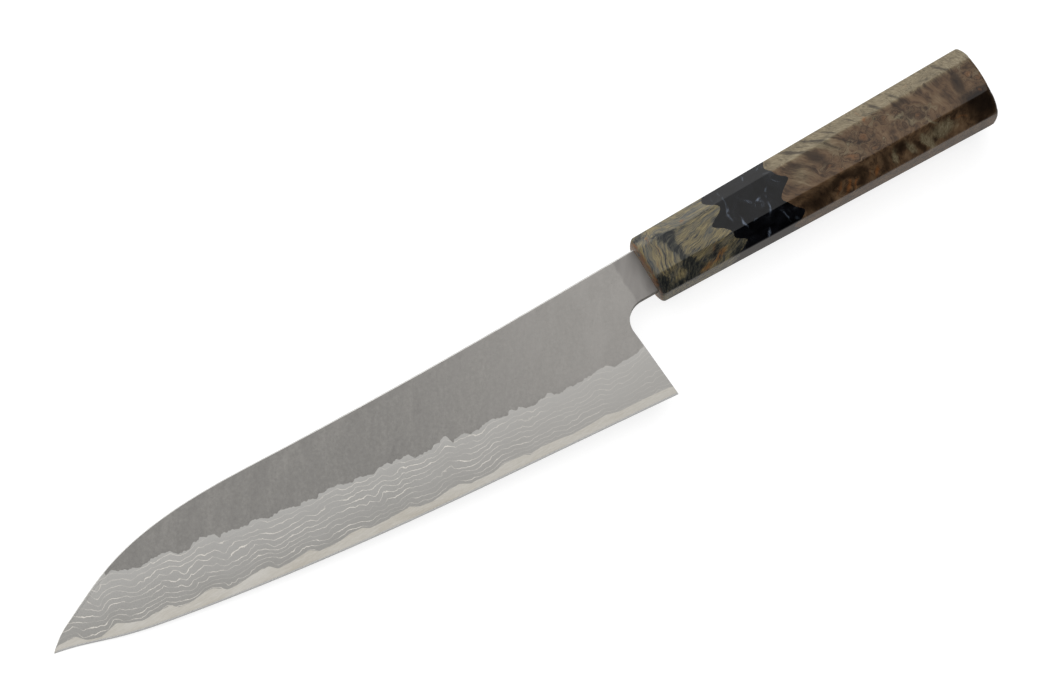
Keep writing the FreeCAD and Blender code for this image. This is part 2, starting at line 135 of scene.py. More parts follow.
REAR_DARK = (
    (63.2, 3.0, 3.2, 2.0, -55, 1.1), (65.0, -0.6, 1.8, 1.4, 0, 0.6), (58.5, 9.5, 5.0, 0.9, -52, 1.2),
    (64.0, 9.5, 6.0, 2.6, -52, 0.3), (66.5, 9.0, 5.0, 0.55, -50, 1.3), (73.0, 4.0, 6.5, 0.5, -48, 0.9),
    (70.0, 3.0, 6.0, 0.5, -50, 0.8), (77.0, 1.5, 4.5, 0.5, -45, 0.7), (88.6, 9.0, 4.2, 0.7, -72, 1.2),
    (95.4, 9.0, 4.2, 0.6, -78, 0.9), (113.2, 9.5, 4.2, 0.7, -74, 1.1), (117.0, 11.0, 3.0, 0.5, -74, 0.7),
    (61.5, 10.5, 4.0, 0.4, -52, 0.6), (71.5, 9.5, 4.0, 0.5, -52, 1.1), (79.5, 9.5, 4.0, 0.45, -66, 0.9),
    (84.8, 9.5, 4.2, 0.4, -86, 0.6), (95.0, 4.4, 3.4, 1.4, 0, 0.8), (101.5, 0.5, 4.0, 0.8, -70, 0.4),
    (114.6, 0.8, 4.0, 2.0, 80, 1.4), (117.5, -5.5, 4.4, 1.8, 0, 1.1), (120.0, 4.2, 2.6, 0.9, 0, 0.7),
    (57.0, -10.5, 5.0, 3.4, 0, 0.9), (66.0, -8.0, 4.0, 1.4, 20, 1.1), (73.0, -8.4, 3.0, 1.4, 0, 1.1),
    (73.5, -12.2, 2.4, 1.4, 60, 0.9), (82.6, -11.0, 3.2, 1.2, 80, 1.0), (88.8, -8.2, 2.6, 1.6, 0, 1.1),
    (94.6, -11.5, 3.0, 0.8, -65, 1.1), (100.6, -8.0, 2.6, 1.0, -60, 0.5), (119.0, -9.5, 5.0, 5.0, 0, 1.9),
    (91.0, -2.5, 2.4, 0.6, -70, 0.3), (107.0, -6.8, 5.0, 0.7, 0, 0.4),
)
REAR_WARM = (
    (83.4, 8.5, 4.4, 0.35, -86, 0.8), (84.0, 6.0, 1.2, 0.8, 0, 0.7), (65.2, -2.0, 1.2, 0.8, 0, 0.8),
    (68.6, -4.4, 1.4, 0.8, 0, 0.6), (73.6, -3.4, 1.9, 1.2, -20, 0.7), (80.0, 0.7, 1.6, 1.2, 0, 0.8),
    (82.0, -4.0, 1.2, 1.0, 0, 0.6), (98.4, -1.7, 1.3, 1.0, 0, 0.7), (89.0, 2.4, 0.9, 0.7, 0, 0.5),
    (92.5, 2.6, 0.8, 0.6, 0, 0.4), (119.2, 1.8, 1.4, 0.9, 0, 0.6), (121.2, -0.8, 1.2, 0.9, 0, 0.6),
    (120.0, -4.2, 1.1, 0.8, 0, 0.6), (68.4, -11.9, 2.6, 0.7, 55, 1.5), (71.2, -12.0, 2.4, 0.5, 60, 1.2),
    (79.0, -12.0, 2.0, 0.7, 70, 1.5), (65.0, -11.0, 2.4, 0.5, 50, 1.0), (76.0, -11.5, 2.2, 0.4, 66, 0.8),
    (110.0, -9.2, 4.0, 0.35, -33, 0.8), (56.0, -8.0, 3.0, 0.8, 0, 0.25), (101.0, 10.4, 2.4, 0.6, 0, 0.4),
)
REAR_PALE = (
    (69.0, 3.2, 6.0, 2.0, -50, 0.60), (75.0, 0.0, 5.0, 1.6, -50, 0.35), (86.3, -10.5, 3.2, 1.1, 80, 1.1),
    (92.0, -10.5, 3.4, 1.1, -70, 1.1), (97.4, -11.5, 3.4, 1.3, -65, 1.2),
    (103.5, -10.2, 5.2, 2.8, 0, 1.1), (95.5, -2.6, 2.2, 2.0, 0, 0.45), (88.0, -3.0, 3.6, 1.6, -20, 0.2),
    (106.0, 0.0, 5.0, 4.0, 0, 0.3), (57.0, 0.0, 5.0, 4.5, 0, 0.60), (101.4, -6.0, 2.4, 0.3, -60, 0.8),
    (90.5, 0.2, 3.0, 0.8, 10, 0.4),
)
REAR_EYES = (
    (65.2, -2.0, 1.5), (73.6, -3.4, 2.2), (80.0, 0.7, 2.6), (82.0, -4.0, 1.7), (89.0, 2.4, 1.7),
    (92.5, 2.6, 1.6), (98.4, -1.7, 3.2), (119.2, 1.8, 1.8), (121.2, -0.8, 1.5), (120.0, -4.2, 1.6),
    (68.4, -12.6, 2.0), (79.0, -12.6, 1.6), (107.0, 9.0, 1.6),
)
RESIN_PEARL = (
    (30.6, 1.0, 3.4, 0.45, 80, 0.7), (33.2, -4.4, 2.0, 0.30, 96, 1.0), (37.6, 1.2, 1.7, 0.30, -60, 0.8),
    (38.8, -0.8, 1.5, 0.25, -70, 0.6), (41.3, -1.2, 1.8, 0.8, 80, 0.5), (42.4, -4.0, 1.9, 0.35, 72, 0.9),
    (40.6, -0.3, 0.8, 0.3, 0, 0.9), (44.0, 0.6, 2.2, 0.30, 62, 0.5), (48.6, 2.4, 2.0, 0.25, -45, 0.5),
    (39.2, -12.0, 1.7, 0.45, 74, 0.8), (46.4, -9.4, 3.4, 0.30, -72, 0.6),
    (49.2, -12.0, 1.4, 0.3, -60, 0.5), (31.6, 8.0, 3.4, 0.30, 86, 0.5), (40.8, 11.0, 1.5, 0.35, 78, 0.9),
    (46.6, 11.5, 1.2, 0.3, 70, 0.5), (35.8, 4.0, 2.0, 0.25, 84, 0.3), (36.8, -5.2, 1.0, 0.3, 0, 0.4),
    (28.5, 9.0, 2.4, 0.25, 84, 0.3),
)


# ---------------------------------------------------------------- the knife's own axes
def rest_placement():
    """Matrix from the knife's own axes, in millimetres, to the frame, in metres."""
    growth = (BUTT_OCTAGON[1] - FRONT_OCTAGON[1]) / 2 / HANDLE_LENGTH
    contact = Vector((FRONT_CHAMFER, 0, -FRONT_OCTAGON[1] / 2 - growth * FRONT_CHAMFER))
    pitch = -math.atan2(-contact.z, BLADE_REACH + contact.x)
    turn = Matrix.Rotation(pitch, 4, "Y")
    low = Vector(CAD_BOX[0]) / MM
    tip = turn @ Vector((-BLADE_REACH, 0, 0))
    crest = turn @ Vector((HANDLE_LENGTH - BUTT_CHAMFER, 0, BUTT_OCTAGON[1] / 2))
    shift = Vector((low.x - tip.x, low.y + HEEL_DROP, CAD_BOX[1][2] / MM - crest.z))
    return Matrix.Scale(MM, 4) @ Matrix.Translation(shift) @ turn


PLACE = rest_placement()


def natural_spline(points):
    """Function y(x) of the natural cubic spline through points, in rising x."""
    xs = np.array([p[0] for p in points])
    ys = np.array([p[1] for p in points])
    steps = np.diff(xs)
    count = len(xs)
    system = np.eye(count)
    right = np.zeros(count)
    for i in range(1, count - 1):
        system[i, i - 1:i + 2] = steps[i - 1], 2 * (steps[i - 1] + steps[i]), steps[i]
        right[i] = 6 * ((ys[i + 1] - ys[i]) / steps[i] - (ys[i] - ys[i - 1]) / steps[i - 1])
    bend = np.linalg.solve(system, right)

    def value(x):
        x = np.asarray(x, float)
        i = np.clip(np.searchsorted(xs, x) - 1, 0, count - 2)
        a, b, step = xs[i + 1] - x, x - xs[i], steps[i]
        return ((bend[i] * a ** 3 + bend[i + 1] * b ** 3) / (6 * step)
                + (ys[i] / step - bend[i] * step / 6) * a + (ys[i + 1] / step - bend[i + 1] * step / 6) * b)
    return value


def spine_points():
    fall = NECK_RISE + TIP_DROP
    inner = [(-along * BLADE_REACH, NECK_RISE - drop * fall) for along, drop in SPINE_POINTS]
    return [(-BLADE_REACH, -TIP_DROP)] + inner[::-1] + [(0.0, NECK_RISE)]


def edge_points():
    length, rise = BLADE_REACH - HEEL_REACH, HEEL_DROP - TIP_DROP
    inner = [(-HEEL_REACH - along * length, -HEEL_DROP + up * rise) for along, up in EDGE_POINTS]
    return [(-BLADE_REACH, -TIP_DROP)] + inner[::-1] + [(-HEEL_REACH, -HEEL_DROP)]


spine_at = natural_spline(spine_points())
edge_at = natural_spline(edge_points())


def line_at(points, rounding):
    """Function y(x) of a broken line, with its corners softened over a rounding length."""
    xs = np.arange(-BLADE_REACH - 5, 5, 0.05)
    ys = np.interp(xs, [p[0] for p in points], [p[1] for p in points])
    width = max(3, int(rounding / 0.05) | 1)
    kernel = np.hanning(width + 2)[1:-1]
    padded = np.pad(ys, width // 2, mode="edge")
    smooth = np.convolve(padded, kernel / kernel.sum(), mode="valid")
    return lambda x: np.interp(x, xs, smooth)


core_line_at = line_at(CORE_LINE, 0.9)
skin_line_at = line_at(SKIN_LINE, 0.3)
core_wave_at = line_at(CORE_LINE, 3.0)
skin_wave_at = line_at([(x, min(y, 4.0)) for x, y in SKIN_LINE], 4.0)


# ---------------------------------------------------------------- blade surfaces
def blade_share(x):
    """0 at the handle, 1 at the tip."""
    return np.clip(-np.asarray(x) / BLADE_REACH, 0, 1)


def flat_half(x):
    """Half thickness of the forged flat."""
    return (SPINE_THICKNESS + (TIP_THICKNESS - SPINE_THICKNESS) * blade_share(x)) / 2


def core_half(x):
    """Half thickness of the core sheet."""
    return (CORE_THICKNESS + (CORE_TIP_THICKNESS - CORE_THICKNESS) * blade_share(x)) / 2


def ground_half(x, y):
    """Half thickness left by grinding, from the edge up to the flat."""
    along = np.clip((-x - HEEL_REACH) / (BLADE_REACH - HEEL_REACH), 0, 1)
    width = BEVEL_WIDTH_HEEL + along * (BEVEL_WIDTH_TIP - BEVEL_WIDTH_HEEL)
    top = flat_half(-HEEL_REACH) + along * (TIP_THICKNESS / 2 - flat_half(-HEEL_REACH))
    low, land = SHOULDER_THICKNESS / 2, LAND_THICKNESS / 2
    above = y - edge_at(np.minimum(x, -HEEL_REACH))
    wide = low + (above - EDGE_BEVEL_WIDTH) / (width - EDGE_BEVEL_WIDTH) * (top - low)
    narrow = land + above / EDGE_BEVEL_WIDTH * (low - land)
    return np.minimum(np.where(above < EDGE_BEVEL_WIDTH, narrow, wide), flat_half(x))


def interface_half(x, y):
    """Half thickness of the core inside the blade, meeting the ground face at the core line."""
    line = core_line_at(x)
    start = ground_half(x, line)
    return core_half(x) + (start - core_half(x)) * np.exp(-np.maximum(y - line, 0) / 3.0)


EDGE_ROWS, STRIP_ROWS, LAYER_ROWS, LOWER_ROWS, UPPER_ROWS, ROUND_ROWS = 2, 6, 18, 15, 15, 4
MAIN_STEP = 0.3
BLEND_START = -36.0
STEP_HEIGHT = 0.03      # how far the forged skin stands over the ground bevel at its border


def band(start, end, count):
    """Shares of the way between two rows, without the last one."""
    return [start + (end - start) * i / count for i in range(count)]


def blade_rows(x):
    """Heights of all rows of one upright column: edge, strip, layers and forged skin."""
    edge, spine = float(edge_at(min(x, -HEEL_REACH))), float(spine_at(x))
    span = spine - edge
    shoulder = edge + min(EDGE_BEVEL_WIDTH, 0.3 * span)
    core = min(max(float(core_line_at(x)), shoulder + 0.05 * span), spine - 0.05 * span)
    jag = 0.25 * noise.noise(Vector((x * 1.4, 5, 0))) - 0.35
    jag += 1.3 * abs(noise.noise(Vector((x * 0.31, 0, 3)))) + 0.6 * abs(noise.noise(Vector((x * 0.8, 2, 7))))
    skin = min(max(float(skin_line_at(x)) + jag, core + 0.02 * span), spine - 0.01 * span)
    middle = skin + 0.5 * (spine - skin)
    return (band(edge, shoulder, EDGE_ROWS) + band(shoulder, core, STRIP_ROWS)
            + band(core, skin, LAYER_ROWS) + band(skin, middle, LOWER_ROWS)
            + band(middle, spine, UPPER_ROWS) + [spine])


CORE_ROW = EDGE_ROWS + STRIP_ROWS
SKIN_ROW = CORE_ROW + LAYER_ROWS
NECK_ROW = SKIN_ROW + LOWER_ROWS
SPINE_ROW = NECK_ROW + UPPER_ROWS


def heel_path():
    """Points of the last full column: up the heel, round the choil, then up the neck."""
    arc_low, arc_high = -NECK_DROP - CHOIL_RADIUS, -NECK_DROP
    left = -NECK_LENGTH - CHOIL_RADIUS

    def heel_x(y):
        return -HEEL_REACH + (left + HEEL_REACH) * (y + HEEL_DROP) / (arc_low + HEEL_DROP)
    core, skin = float(core_line_at(-12.0)), float(skin_line_at(-13.5))
    heights = (band(-HEEL_DROP, -HEEL_DROP + EDGE_BEVEL_WIDTH, EDGE_ROWS)
               + band(-HEEL_DROP + EDGE_BEVEL_WIDTH, core, STRIP_ROWS)
               + band(core, skin, LAYER_ROWS))
    points = [(heel_x(y), y) for y in heights]
    straight = 4
    points += [(heel_x(y), y) for y in band(skin, arc_low, straight)]
    turns = LOWER_ROWS - straight
    points += [(-NECK_LENGTH - CHOIL_RADIUS * math.cos(a), arc_low + CHOIL_RADIUS * math.sin(a))
               for a in band(0, math.pi / 2, turns)]
    spine = float(spine_at(-NECK_LENGTH))
    points += [(-NECK_LENGTH, y) for y in band(arc_high, spine, UPPER_ROWS)] + [(-NECK_LENGTH, spine)]
    return points


def blade_grid():
    """Outline grid of the blade's side as (x, y) points, and the columns where the neck starts."""
    start, end = -BLADE_REACH + 0.15, -NECK_LENGTH - CHOIL_RADIUS
    count = int((end - start) / MAIN_STEP)
    columns = []
    last = heel_path()
    for i in range(count + 1):
        x = start + (end - start) * i / count
        weight = min(max((x - BLEND_START) / (end - BLEND_START), 0.0), 1.0) ** 2
        rows = blade_rows(x)
        columns.append([((1 - weight) * x + weight * px, (1 - weight) * y + weight * py)
                        for y, (px, py) in zip(rows, last)])
    neck_column = len(columns) - 1
    neck_steps = 10
    for i in range(1, neck_steps + 1):
        x = -NECK_LENGTH * (1 - i / neck_steps)
        rows = blade_rows(x)
        upper = band(-NECK_DROP, rows[-1], UPPER_ROWS) + [rows[-1]]
        columns.append([(x, -NECK_DROP)] * NECK_ROW + [(x, y) for y in upper])
    return np.array(columns), neck_column


def skin_relief(x, y):
    """Hammered, scaled relief of the forged skin: never above the flat, and up to 0.05 mm below."""
    along, across = x * 0.54 + y * 0.84, -x * 0.84 + y * 0.54
    wide = noise.noise(Vector((x / 14, y / 9, 1.5)))
    streak = noise.noise(Vector((across / 1.6, along / 9, 7.5)))
    return -0.022 + 0.014 * wide + 0.007 * streak


def outer_half(columns, skin_row):
    """Half thickness at every grid point: ground up to the skin's row, forged above it."""
    x, y = columns[..., 0], columns[..., 1]
    ground = ground_half(x, y)
    forged = flat_half(x).copy()
    for i in range(x.shape[0]):
        for j in range(skin_row + 1, x.shape[1]):
            forged[i, j] += skin_relief(x[i, j], y[i, j])
    rows = np.arange(x.shape[1])
    step = STEP_HEIGHT * np.exp((rows - skin_row) / 2.0) * (ground > 0.3)
    return np.where(rows <= skin_row, ground - step, np.minimum(forged, ground))


class Shell:
    """Mesh under construction, in the knife's own axes."""

    def __init__(self):
        self.points, self.faces, self.slots, self.layer = [], [], [], []
        self.extra = {}

    def add_points(self, array, layer=None):
        start = len(self.points)
        flat = np.asarray(array).reshape(-1, 3)
        self.points.extend(flat.tolist())
        self.layer.extend([0.0] * len(flat) if layer is None else np.asarray(layer).reshape(-1).tolist())
        return np.arange(start, start + len(flat)).reshape(np.asarray(array).shape[:-1])

    def quad(self, a, b, c, d, slot=0):
        self.faces.append((int(a), int(b), int(c), int(d)))
        self.slots.append(slot)

    def finish(self, name, materials, node, record_slot, sharp=25.0):
        """Weld, orient and place the mesh, and make it ride on the frame in its node's place."""
        mesh = bpy.data.meshes.new(name)
        mesh.from_pydata([PLACE @ Vector(p) for p in self.points], [], self.faces)
        for polygon, slot in zip(mesh.polygons, self.slots):
            polygon.material_index = slot
        own = mesh.attributes.new("own", "FLOAT_VECTOR", "POINT")
        own.data.foreach_set("vector", [v for p in self.points for v in p])
        layer = mesh.attributes.new("layer", "FLOAT", "POINT")
        layer.data.foreach_set("value", self.layer)
        for key, values in self.extra.items():
            field = mesh.attributes.new(key, "FLOAT_VECTOR", "POINT")
            field.data.foreach_set("vector", np.asarray(values, dtype=float).ravel().tolist())
        for material in materials:
            mesh.materials.append(material)
        work = bmesh.new()
        work.from_mesh(mesh)
        bmesh.ops.remove_doubles(work, verts=work.verts, dist=2e-6)
        bmesh.ops.dissolve_degenerate(work, edges=work.edges, dist=1e-7)
        bmesh.ops.recalc_face_normals(work, faces=work.faces)
        work.to_mesh(mesh)
        work.free()
        mesh.shade_smooth()
        mesh.set_sharp_from_angle(angle=math.radians(sharp))
        piece = bpy.data.objects.new(name, mesh)
        bpy.context.scene.collection.objects.link(piece)
        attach(piece, "root")
        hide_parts(node)
        return piece


def sheet(shell, outer, inner, exists, outer_slot, inner_slot, wall_slot, layer):
    """Closed solid between two grids that share a layout, with walls round its border."""
    top = shell.add_points(outer, layer)
    low = shell.add_points(inner)
    columns, rows = top.shape
    for i in range(columns - 1):
        for j in range(rows - 1):
            if not exists(i, j):
                continue
            shell.quad(top[i, j], top[i + 1, j], top[i + 1, j + 1], top[i, j + 1], outer_slot(i, j))
            shell.quad(low[i, j], low[i, j + 1], low[i + 1, j + 1], low[i + 1, j], inner_slot(i, j))
            sides = (((i, j), (i + 1, j), (i, j - 1)), ((i, j + 1), (i + 1, j + 1), (i, j + 1)),
                     ((i, j), (i, j + 1), (i - 1, j)), ((i + 1, j), (i + 1, j + 1), (i + 1, j)))
            for a, b, (ni, nj) in sides:
                inside = 0 <= ni < columns - 1 and 0 <= nj < rows - 1 and exists(ni, nj)
                if not inside:
                    shell.quad(top[a], top[b], low[b], low[a], wall_slot)


def block(shell, low, high, end_low, end_high, slot=0):
    """Tapering bar: (x, y, z) corners at its root and at its end."""
    corners = []
    for (x, y0, z0), (_, y1, z1) in ((low, high), (end_low, end_high)):
        corners += [(x, y0, z0), (x, y1, z0), (x, y1, z1), (x, y0, z1)]
    index = shell.add_points(np.array(corners))
    for i in range(4):
        shell.quad(index[i], index[(i + 1) % 4], index[4 + (i + 1) % 4], index[4 + i], slot)
    shell.quad(*index[:4], slot)
    shell.quad(*index[4:][::-1], slot)


def with_height(columns, half, side):
    return np.concatenate([columns, (side * half)[..., None]], axis=2)


def layer_share(columns):
    """Layer pattern: 0 on the core line, 1 on the skin line, with crests that lean to the tip."""
    x, y = columns[..., 0], columns[..., 1]
    share = np.clip((y - core_wave_at(x)) / np.maximum(skin_wave_at(x) - core_wave_at(x), 3.0), -0.3, 1.4)
    lean = 5.0
    for _ in range(3):
        core = core_wave_at(x - lean * share)
        skin = skin_wave_at(x + lean * (1 - share))
        share = np.clip((y - core) / np.maximum(skin - core, 3.0), -0.3, 1.4)
    return share


def inner_half(columns, half):
    """Half thickness where cladding meets core: below the ground face everywhere past the core line."""
    inner = interface_half(columns[..., 0], columns[..., 1])
    past = np.minimum(np.arange(columns.shape[1]) / 3.0, 1.0)
    return np.where(past == 0, half, np.minimum(inner, half * (1 - 0.15 * past)))


def rounded_spine(columns):
    """Cladding's grid with its top rows lowered, and the rows that turn over the spine's corner."""
    x, y = columns[..., 0], columns[..., 1]
    last = columns.shape[1] - 1
    span = y[:, last] - y[:, 0]
    radius = np.minimum(0.5 * (flat_half(x[:, last]) - core_half(x[:, last])), 0.25 * span)
    radius = np.minimum(radius, 0.4)
    lowered = columns.copy()
    for j in range(last + 1):
        limit = y[:, last] - radius - (last - j) * 0.002 * span
        lowered[:, j, 1] = np.where(y[:, j] > limit, limit, y[:, j])
    half = outer_half(lowered, SKIN_ROW - CORE_ROW)
    inner = inner_half(lowered, half)
    rows, heights = [], []
    for i in range(1, ROUND_ROWS + 1):
        angle = math.pi / 2 * i / ROUND_ROWS
        drop = 0.5 * (1 - math.cos(angle)) * (half[:, last] - inner[:, last])
        rows.append(np.stack([x[:, last], y[:, last] - radius * (1 - math.sin(angle))], axis=1))
        heights.append(half[:, last] - drop)
    grid = np.concatenate([lowered, np.stack(rows, axis=1)], axis=1)
    full_half = np.concatenate([half, np.stack(heights, axis=1)], axis=1)
    return grid, full_half, np.pad(inner, [(0, 0), (0, ROUND_ROWS)], mode="edge")


def build_blade(materials):
    """Two claddings and the core between them."""
    columns, neck_column = blade_grid()
    half = outer_half(columns, SKIN_ROW)
    inner = inner_half(columns[:, CORE_ROW:], half[:, CORE_ROW:])
    tang_half = TANG_THICKNESS / 2
    core_tang = CORE_THICKNESS / 2
    clad_grid, clad_half, clad_inner = rounded_spine(columns[:, CORE_ROW:])
    layer = layer_share(clad_grid)

    def clad_exists(i, j):
        return i < neck_column or j + CORE_ROW >= NECK_ROW

    spine, skin, edge = columns[:, -1, 1], columns[:, SKIN_ROW, 1], columns[:, 0, 1]
    bare = spine - skin < 0.03 * (spine - edge)

    def clad_slot(i, j):
        row = j + CORE_ROW
        return 2 if row >= SPINE_ROW else 0 if row < SKIN_ROW or bare[i] else 1
    for name, side in (("cladding_left", 1), ("cladding_right", -1)):
        shell = Shell()
        sheet(shell, with_height(clad_grid, clad_half, side), with_height(clad_grid, clad_inner, side),
              clad_exists, clad_slot, lambda i, j: 1, 1, layer)
        z0, z1 = sorted((side * core_tang, side * tang_half))
        block(shell, (0, -TANG_WIDTH / 2, z0), (0, TANG_WIDTH / 2, z1),
              (TANG_LENGTH, -TANG_END_WIDTH / 2, z0), (TANG_LENGTH, TANG_END_WIDTH / 2, z1), 1)
        shell.finish(name + "_skin", [materials["layers"], materials["forged"], materials["spine"]],
                     name, "layered_cladding")
    shell = Shell()
    core = np.concatenate([half[:, :CORE_ROW], inner], axis=1)

    def core_exists(i, j):
        return i < neck_column or j >= NECK_ROW

    def core_slot(_, j):
        return 1 if j < EDGE_ROWS else 0
    sheet(shell, with_height(columns, core, 1), with_height(columns, core, -1),
          core_exists, core_slot, core_slot, 0, np.zeros(core.shape))
    block(shell, (0, -TANG_WIDTH / 2, -core_tang), (0, TANG_WIDTH / 2, core_tang),
          (TANG_LENGTH, -TANG_END_WIDTH / 2, -core_tang), (TANG_LENGTH, TANG_END_WIDTH / 2, core_tang))
    shell.finish("core_blade", [materials["core"], materials["edge"]], "core_steel", "core_steel")


# ---------------------------------------------------------------- handle
FACET_STEPS, ARRIS_STEPS = 28, 4
RING = 8 * (FACET_STEPS + ARRIS_STEPS)


def octagon_at(x):
    """Height, width and facet of the handle at x."""
    span = HANDLE_LENGTH - BUTT_CHAMFER - FRONT_CHAMFER
    share = (np.asarray(x, float) - FRONT_CHAMFER) / span
    return [front + (butt - front) * share for front, butt in zip(FRONT_OCTAGON, BUTT_OCTAGON)]


def ring_point(index, high, wide, facet, inset, radius):
    """Point of the eased octagon: facets are numbered from the top, turning towards the spine."""
    side, step = divmod(index, FACET_STEPS + ARRIS_STEPS)
    h, w = high / 2 - inset, wide / 2 - inset
    f = facet - (2 - math.sqrt(2)) * inset
    corners = [(-(h - f), w), (h - f, w), (h, w - f), (h, -(w - f)),
               (h - f, -w), (-(h - f), -w), (-h, -(w - f)), (-h, w - f)]
    start, mid = np.array(corners[side]), np.array(corners[(side + 1) % 8])
    along = (mid - start) / np.linalg.norm(mid - start)
    cut = radius * math.tan(math.pi / 8)
    if step <= FACET_STEPS:
        low, high_end = start + along * cut, mid - along * cut
        return low + (high_end - low) * step / FACET_STEPS
    share = (step - FACET_STEPS) / ARRIS_STEPS
    inward = np.array([along[1], -along[0]])
    centre = mid - along * cut + inward * radius
    if np.linalg.norm(centre) > np.linalg.norm(mid):
        inward = -inward
        centre = mid - along * cut + inward * radius
    angle = share * math.pi / 4
    return centre - inward * radius * math.cos(angle) + along * radius * math.sin(angle)


def outer_ring(x_of_ring, inset=0.0):
    """Ring of (x, y, z) points on the handle's outside, one x for each point."""
    points = []
    for index in range(RING):
        x = float(x_of_ring[index])
        high, wide, facet = octagon_at(min(max(x, FRONT_CHAMFER), HANDLE_LENGTH - BUTT_CHAMFER))
        near_butt = min(max((x - HANDLE_LENGTH + 5.0) / 5.0, 0.0), 1.0)
        y, z = ring_point(index, high, wide, facet, inset, ARRIS_RADIUS + BUTT_EASING * near_butt ** 3)
        points.append((x, y, z))
    return np.array(points)


def wall_at(place, lumps, y, z):
    """X position of a burl's lumpy outer skin."""
    value = place + 0 * y
    for cy, cz, shift, radius in lumps:
        value = value + shift * np.exp(-((y - cy) ** 2 + (z - cz) ** 2) / radius ** 2)
    return value


def wall_ring(place, lumps):
    """X of the wall where it meets the handle's outside, one for each ring point."""
    x = np.full(RING, float(place))
    for _ in range(3):
        ring = outer_ring(x)
        x = wall_at(place, lumps, ring[:, 1], ring[:, 2])
    return x


def bore_ring(x):
    angles = np.arctan2(*outer_ring(np.full(RING, 60.0))[:, 1:].T)
    return np.stack([np.full(RING, float(x)), BORE_RADIUS * np.sin(angles),
                     BORE_RADIUS * np.cos(angles)], axis=1)


def slot_ring(x):
    base = outer_ring(np.full(RING, 60.0))[:, 1:]
    scale = np.minimum(SLOT_HEIGHT / 2 / np.maximum(abs(base[:, 0]), 1e-6),
                       SLOT_WIDTH / 2 / np.maximum(abs(base[:, 1]), 1e-6))
    return np.stack([np.full(RING, float(x)), base[:, 0] * scale, base[:, 1] * scale], axis=1)


def wall_rows(place, lumps, outward):
    """Rings across a lumpy wall, from the bore to the outside or back."""
    outside = outer_ring(wall_ring(place, lumps))
    bore = bore_ring(place)
    rows = []
    for i in range(1, 10):
        ring = bore + (outside - bore) * i / 10
        ring[:, 0] = wall_at(place, lumps, ring[:, 1], ring[:, 2])
        rows.append(ring)
    bore = bore.copy()
    bore[:, 0] = wall_at(place, lumps, bore[:, 1], bore[:, 2])
    rows = [bore] + rows
    return rows if outward else rows[::-1]


def side_rows(start, end, count):
    """Rings along the outside between two border lines, both included."""
    return [outer_ring(start + (end - start) * i / count) for i in range(count + 1)]


def arris_share():
    """0 in the middle of each facet, rising to 1 at the arrises, for each ring point."""
    step = np.arange(RING) % (FACET_STEPS + ARRIS_STEPS)
    return abs(2 * np.minimum(step, FACET_STEPS) / FACET_STEPS - 1) ** 2.5


def chamfer_rows(place, size, sag, forward):
    """Rings over an eased end chamfer, from the side to the end face or back."""
    inward = 1 if place == 0 else -1
    rows = []
    for i in range(1, 6):
        share = i / 5
        inset = size * (share - 0.12 * math.sin(math.pi * share))
        ring = outer_ring(np.full(RING, place + inward * size), inset)
        ring[:, 0] = place + inward * size * (1 - share - 0.12 * math.sin(math.pi * share))
        ring[:, 0] += inward * sag * arris_share() * (1 - 0.45 * share)
        rows.append(ring)
    return rows if forward else rows[::-1]


def unrolled(points):
    """x and girth of handle points, seen from the nearer side; the far side is shifted along."""
    x, y, z = points[..., 0], points[..., 1], points[..., 2]
    high, wide, facet = octagon_at(x)
    flat = high / 2 - facet
    girth = np.minimum(abs(y), flat) + math.sqrt(2) * np.maximum(abs(y) - flat, 0)
    girth = girth + np.where(abs(y) > high / 2 - 0.5, np.maximum(wide / 2 - facet - abs(z), 0), 0)
    return x + np.where(z < 0, 4.0, 0.0), girth * np.sign(y)


def marks_at(x, girth, marks):
    """Sum of soft, slanting marks at unrolled positions."""
    total = np.zeros(x.shape)
    for mark_x, mark_girth, long, wide, slant, amount in marks:
        c, s = math.cos(math.radians(slant)), math.sin(math.radians(slant))
        u, v = (x - mark_x) * c + (girth - mark_girth) * s, (girth - mark_girth) * c - (x - mark_x) * s
        total += amount * np.exp(-(u / long) ** 2 - (v / wide) ** 2)
    return total


def ripple(points, size, amount, seed):
    """Smooth random shift of points, so that soft marks wander."""
    flat = points.reshape(-1, 3)
    shifts = np.array([noise.noise_vector(Vector(p) / size + Vector((seed, 0, 0))) for p in flat.tolist()])
    return amount * shifts.reshape(points.shape)


def rise(value, middle, width):
    """Soft step from 0 to 1 round a middle."""
    return 1 / (1 + np.exp(-(value - middle) / width))


def front_figure(points):
    """Dark and warm marks of the front burl, and its grain, which swings round the dark band."""
    wander = ripple(points, 3.0, 0.8, 3.0)
    x, girth = unrolled(points)
    u, v = x + wander[..., 0], girth + wander[..., 1]
    marks = np.stack([marks_at(u, v, FRONT_DARK), marks_at(u, v, FRONT_WARM), 0 * x], axis=-1)
    past = rise(x, 11.0, 1.4)
    lean = 74 - 50 * past - 26 * past * rise(girth, 4.5, 1.5) + 12 * past * (1 - rise(girth, -7.0, 1.2))
    turn = np.radians(lean)
    along = (x - 9) * np.cos(turn) + girth * np.sin(turn)
    across = girth * np.cos(turn) - (x - 9) * np.sin(turn)
    return marks, np.stack([along, across, points[..., 2]], axis=-1)


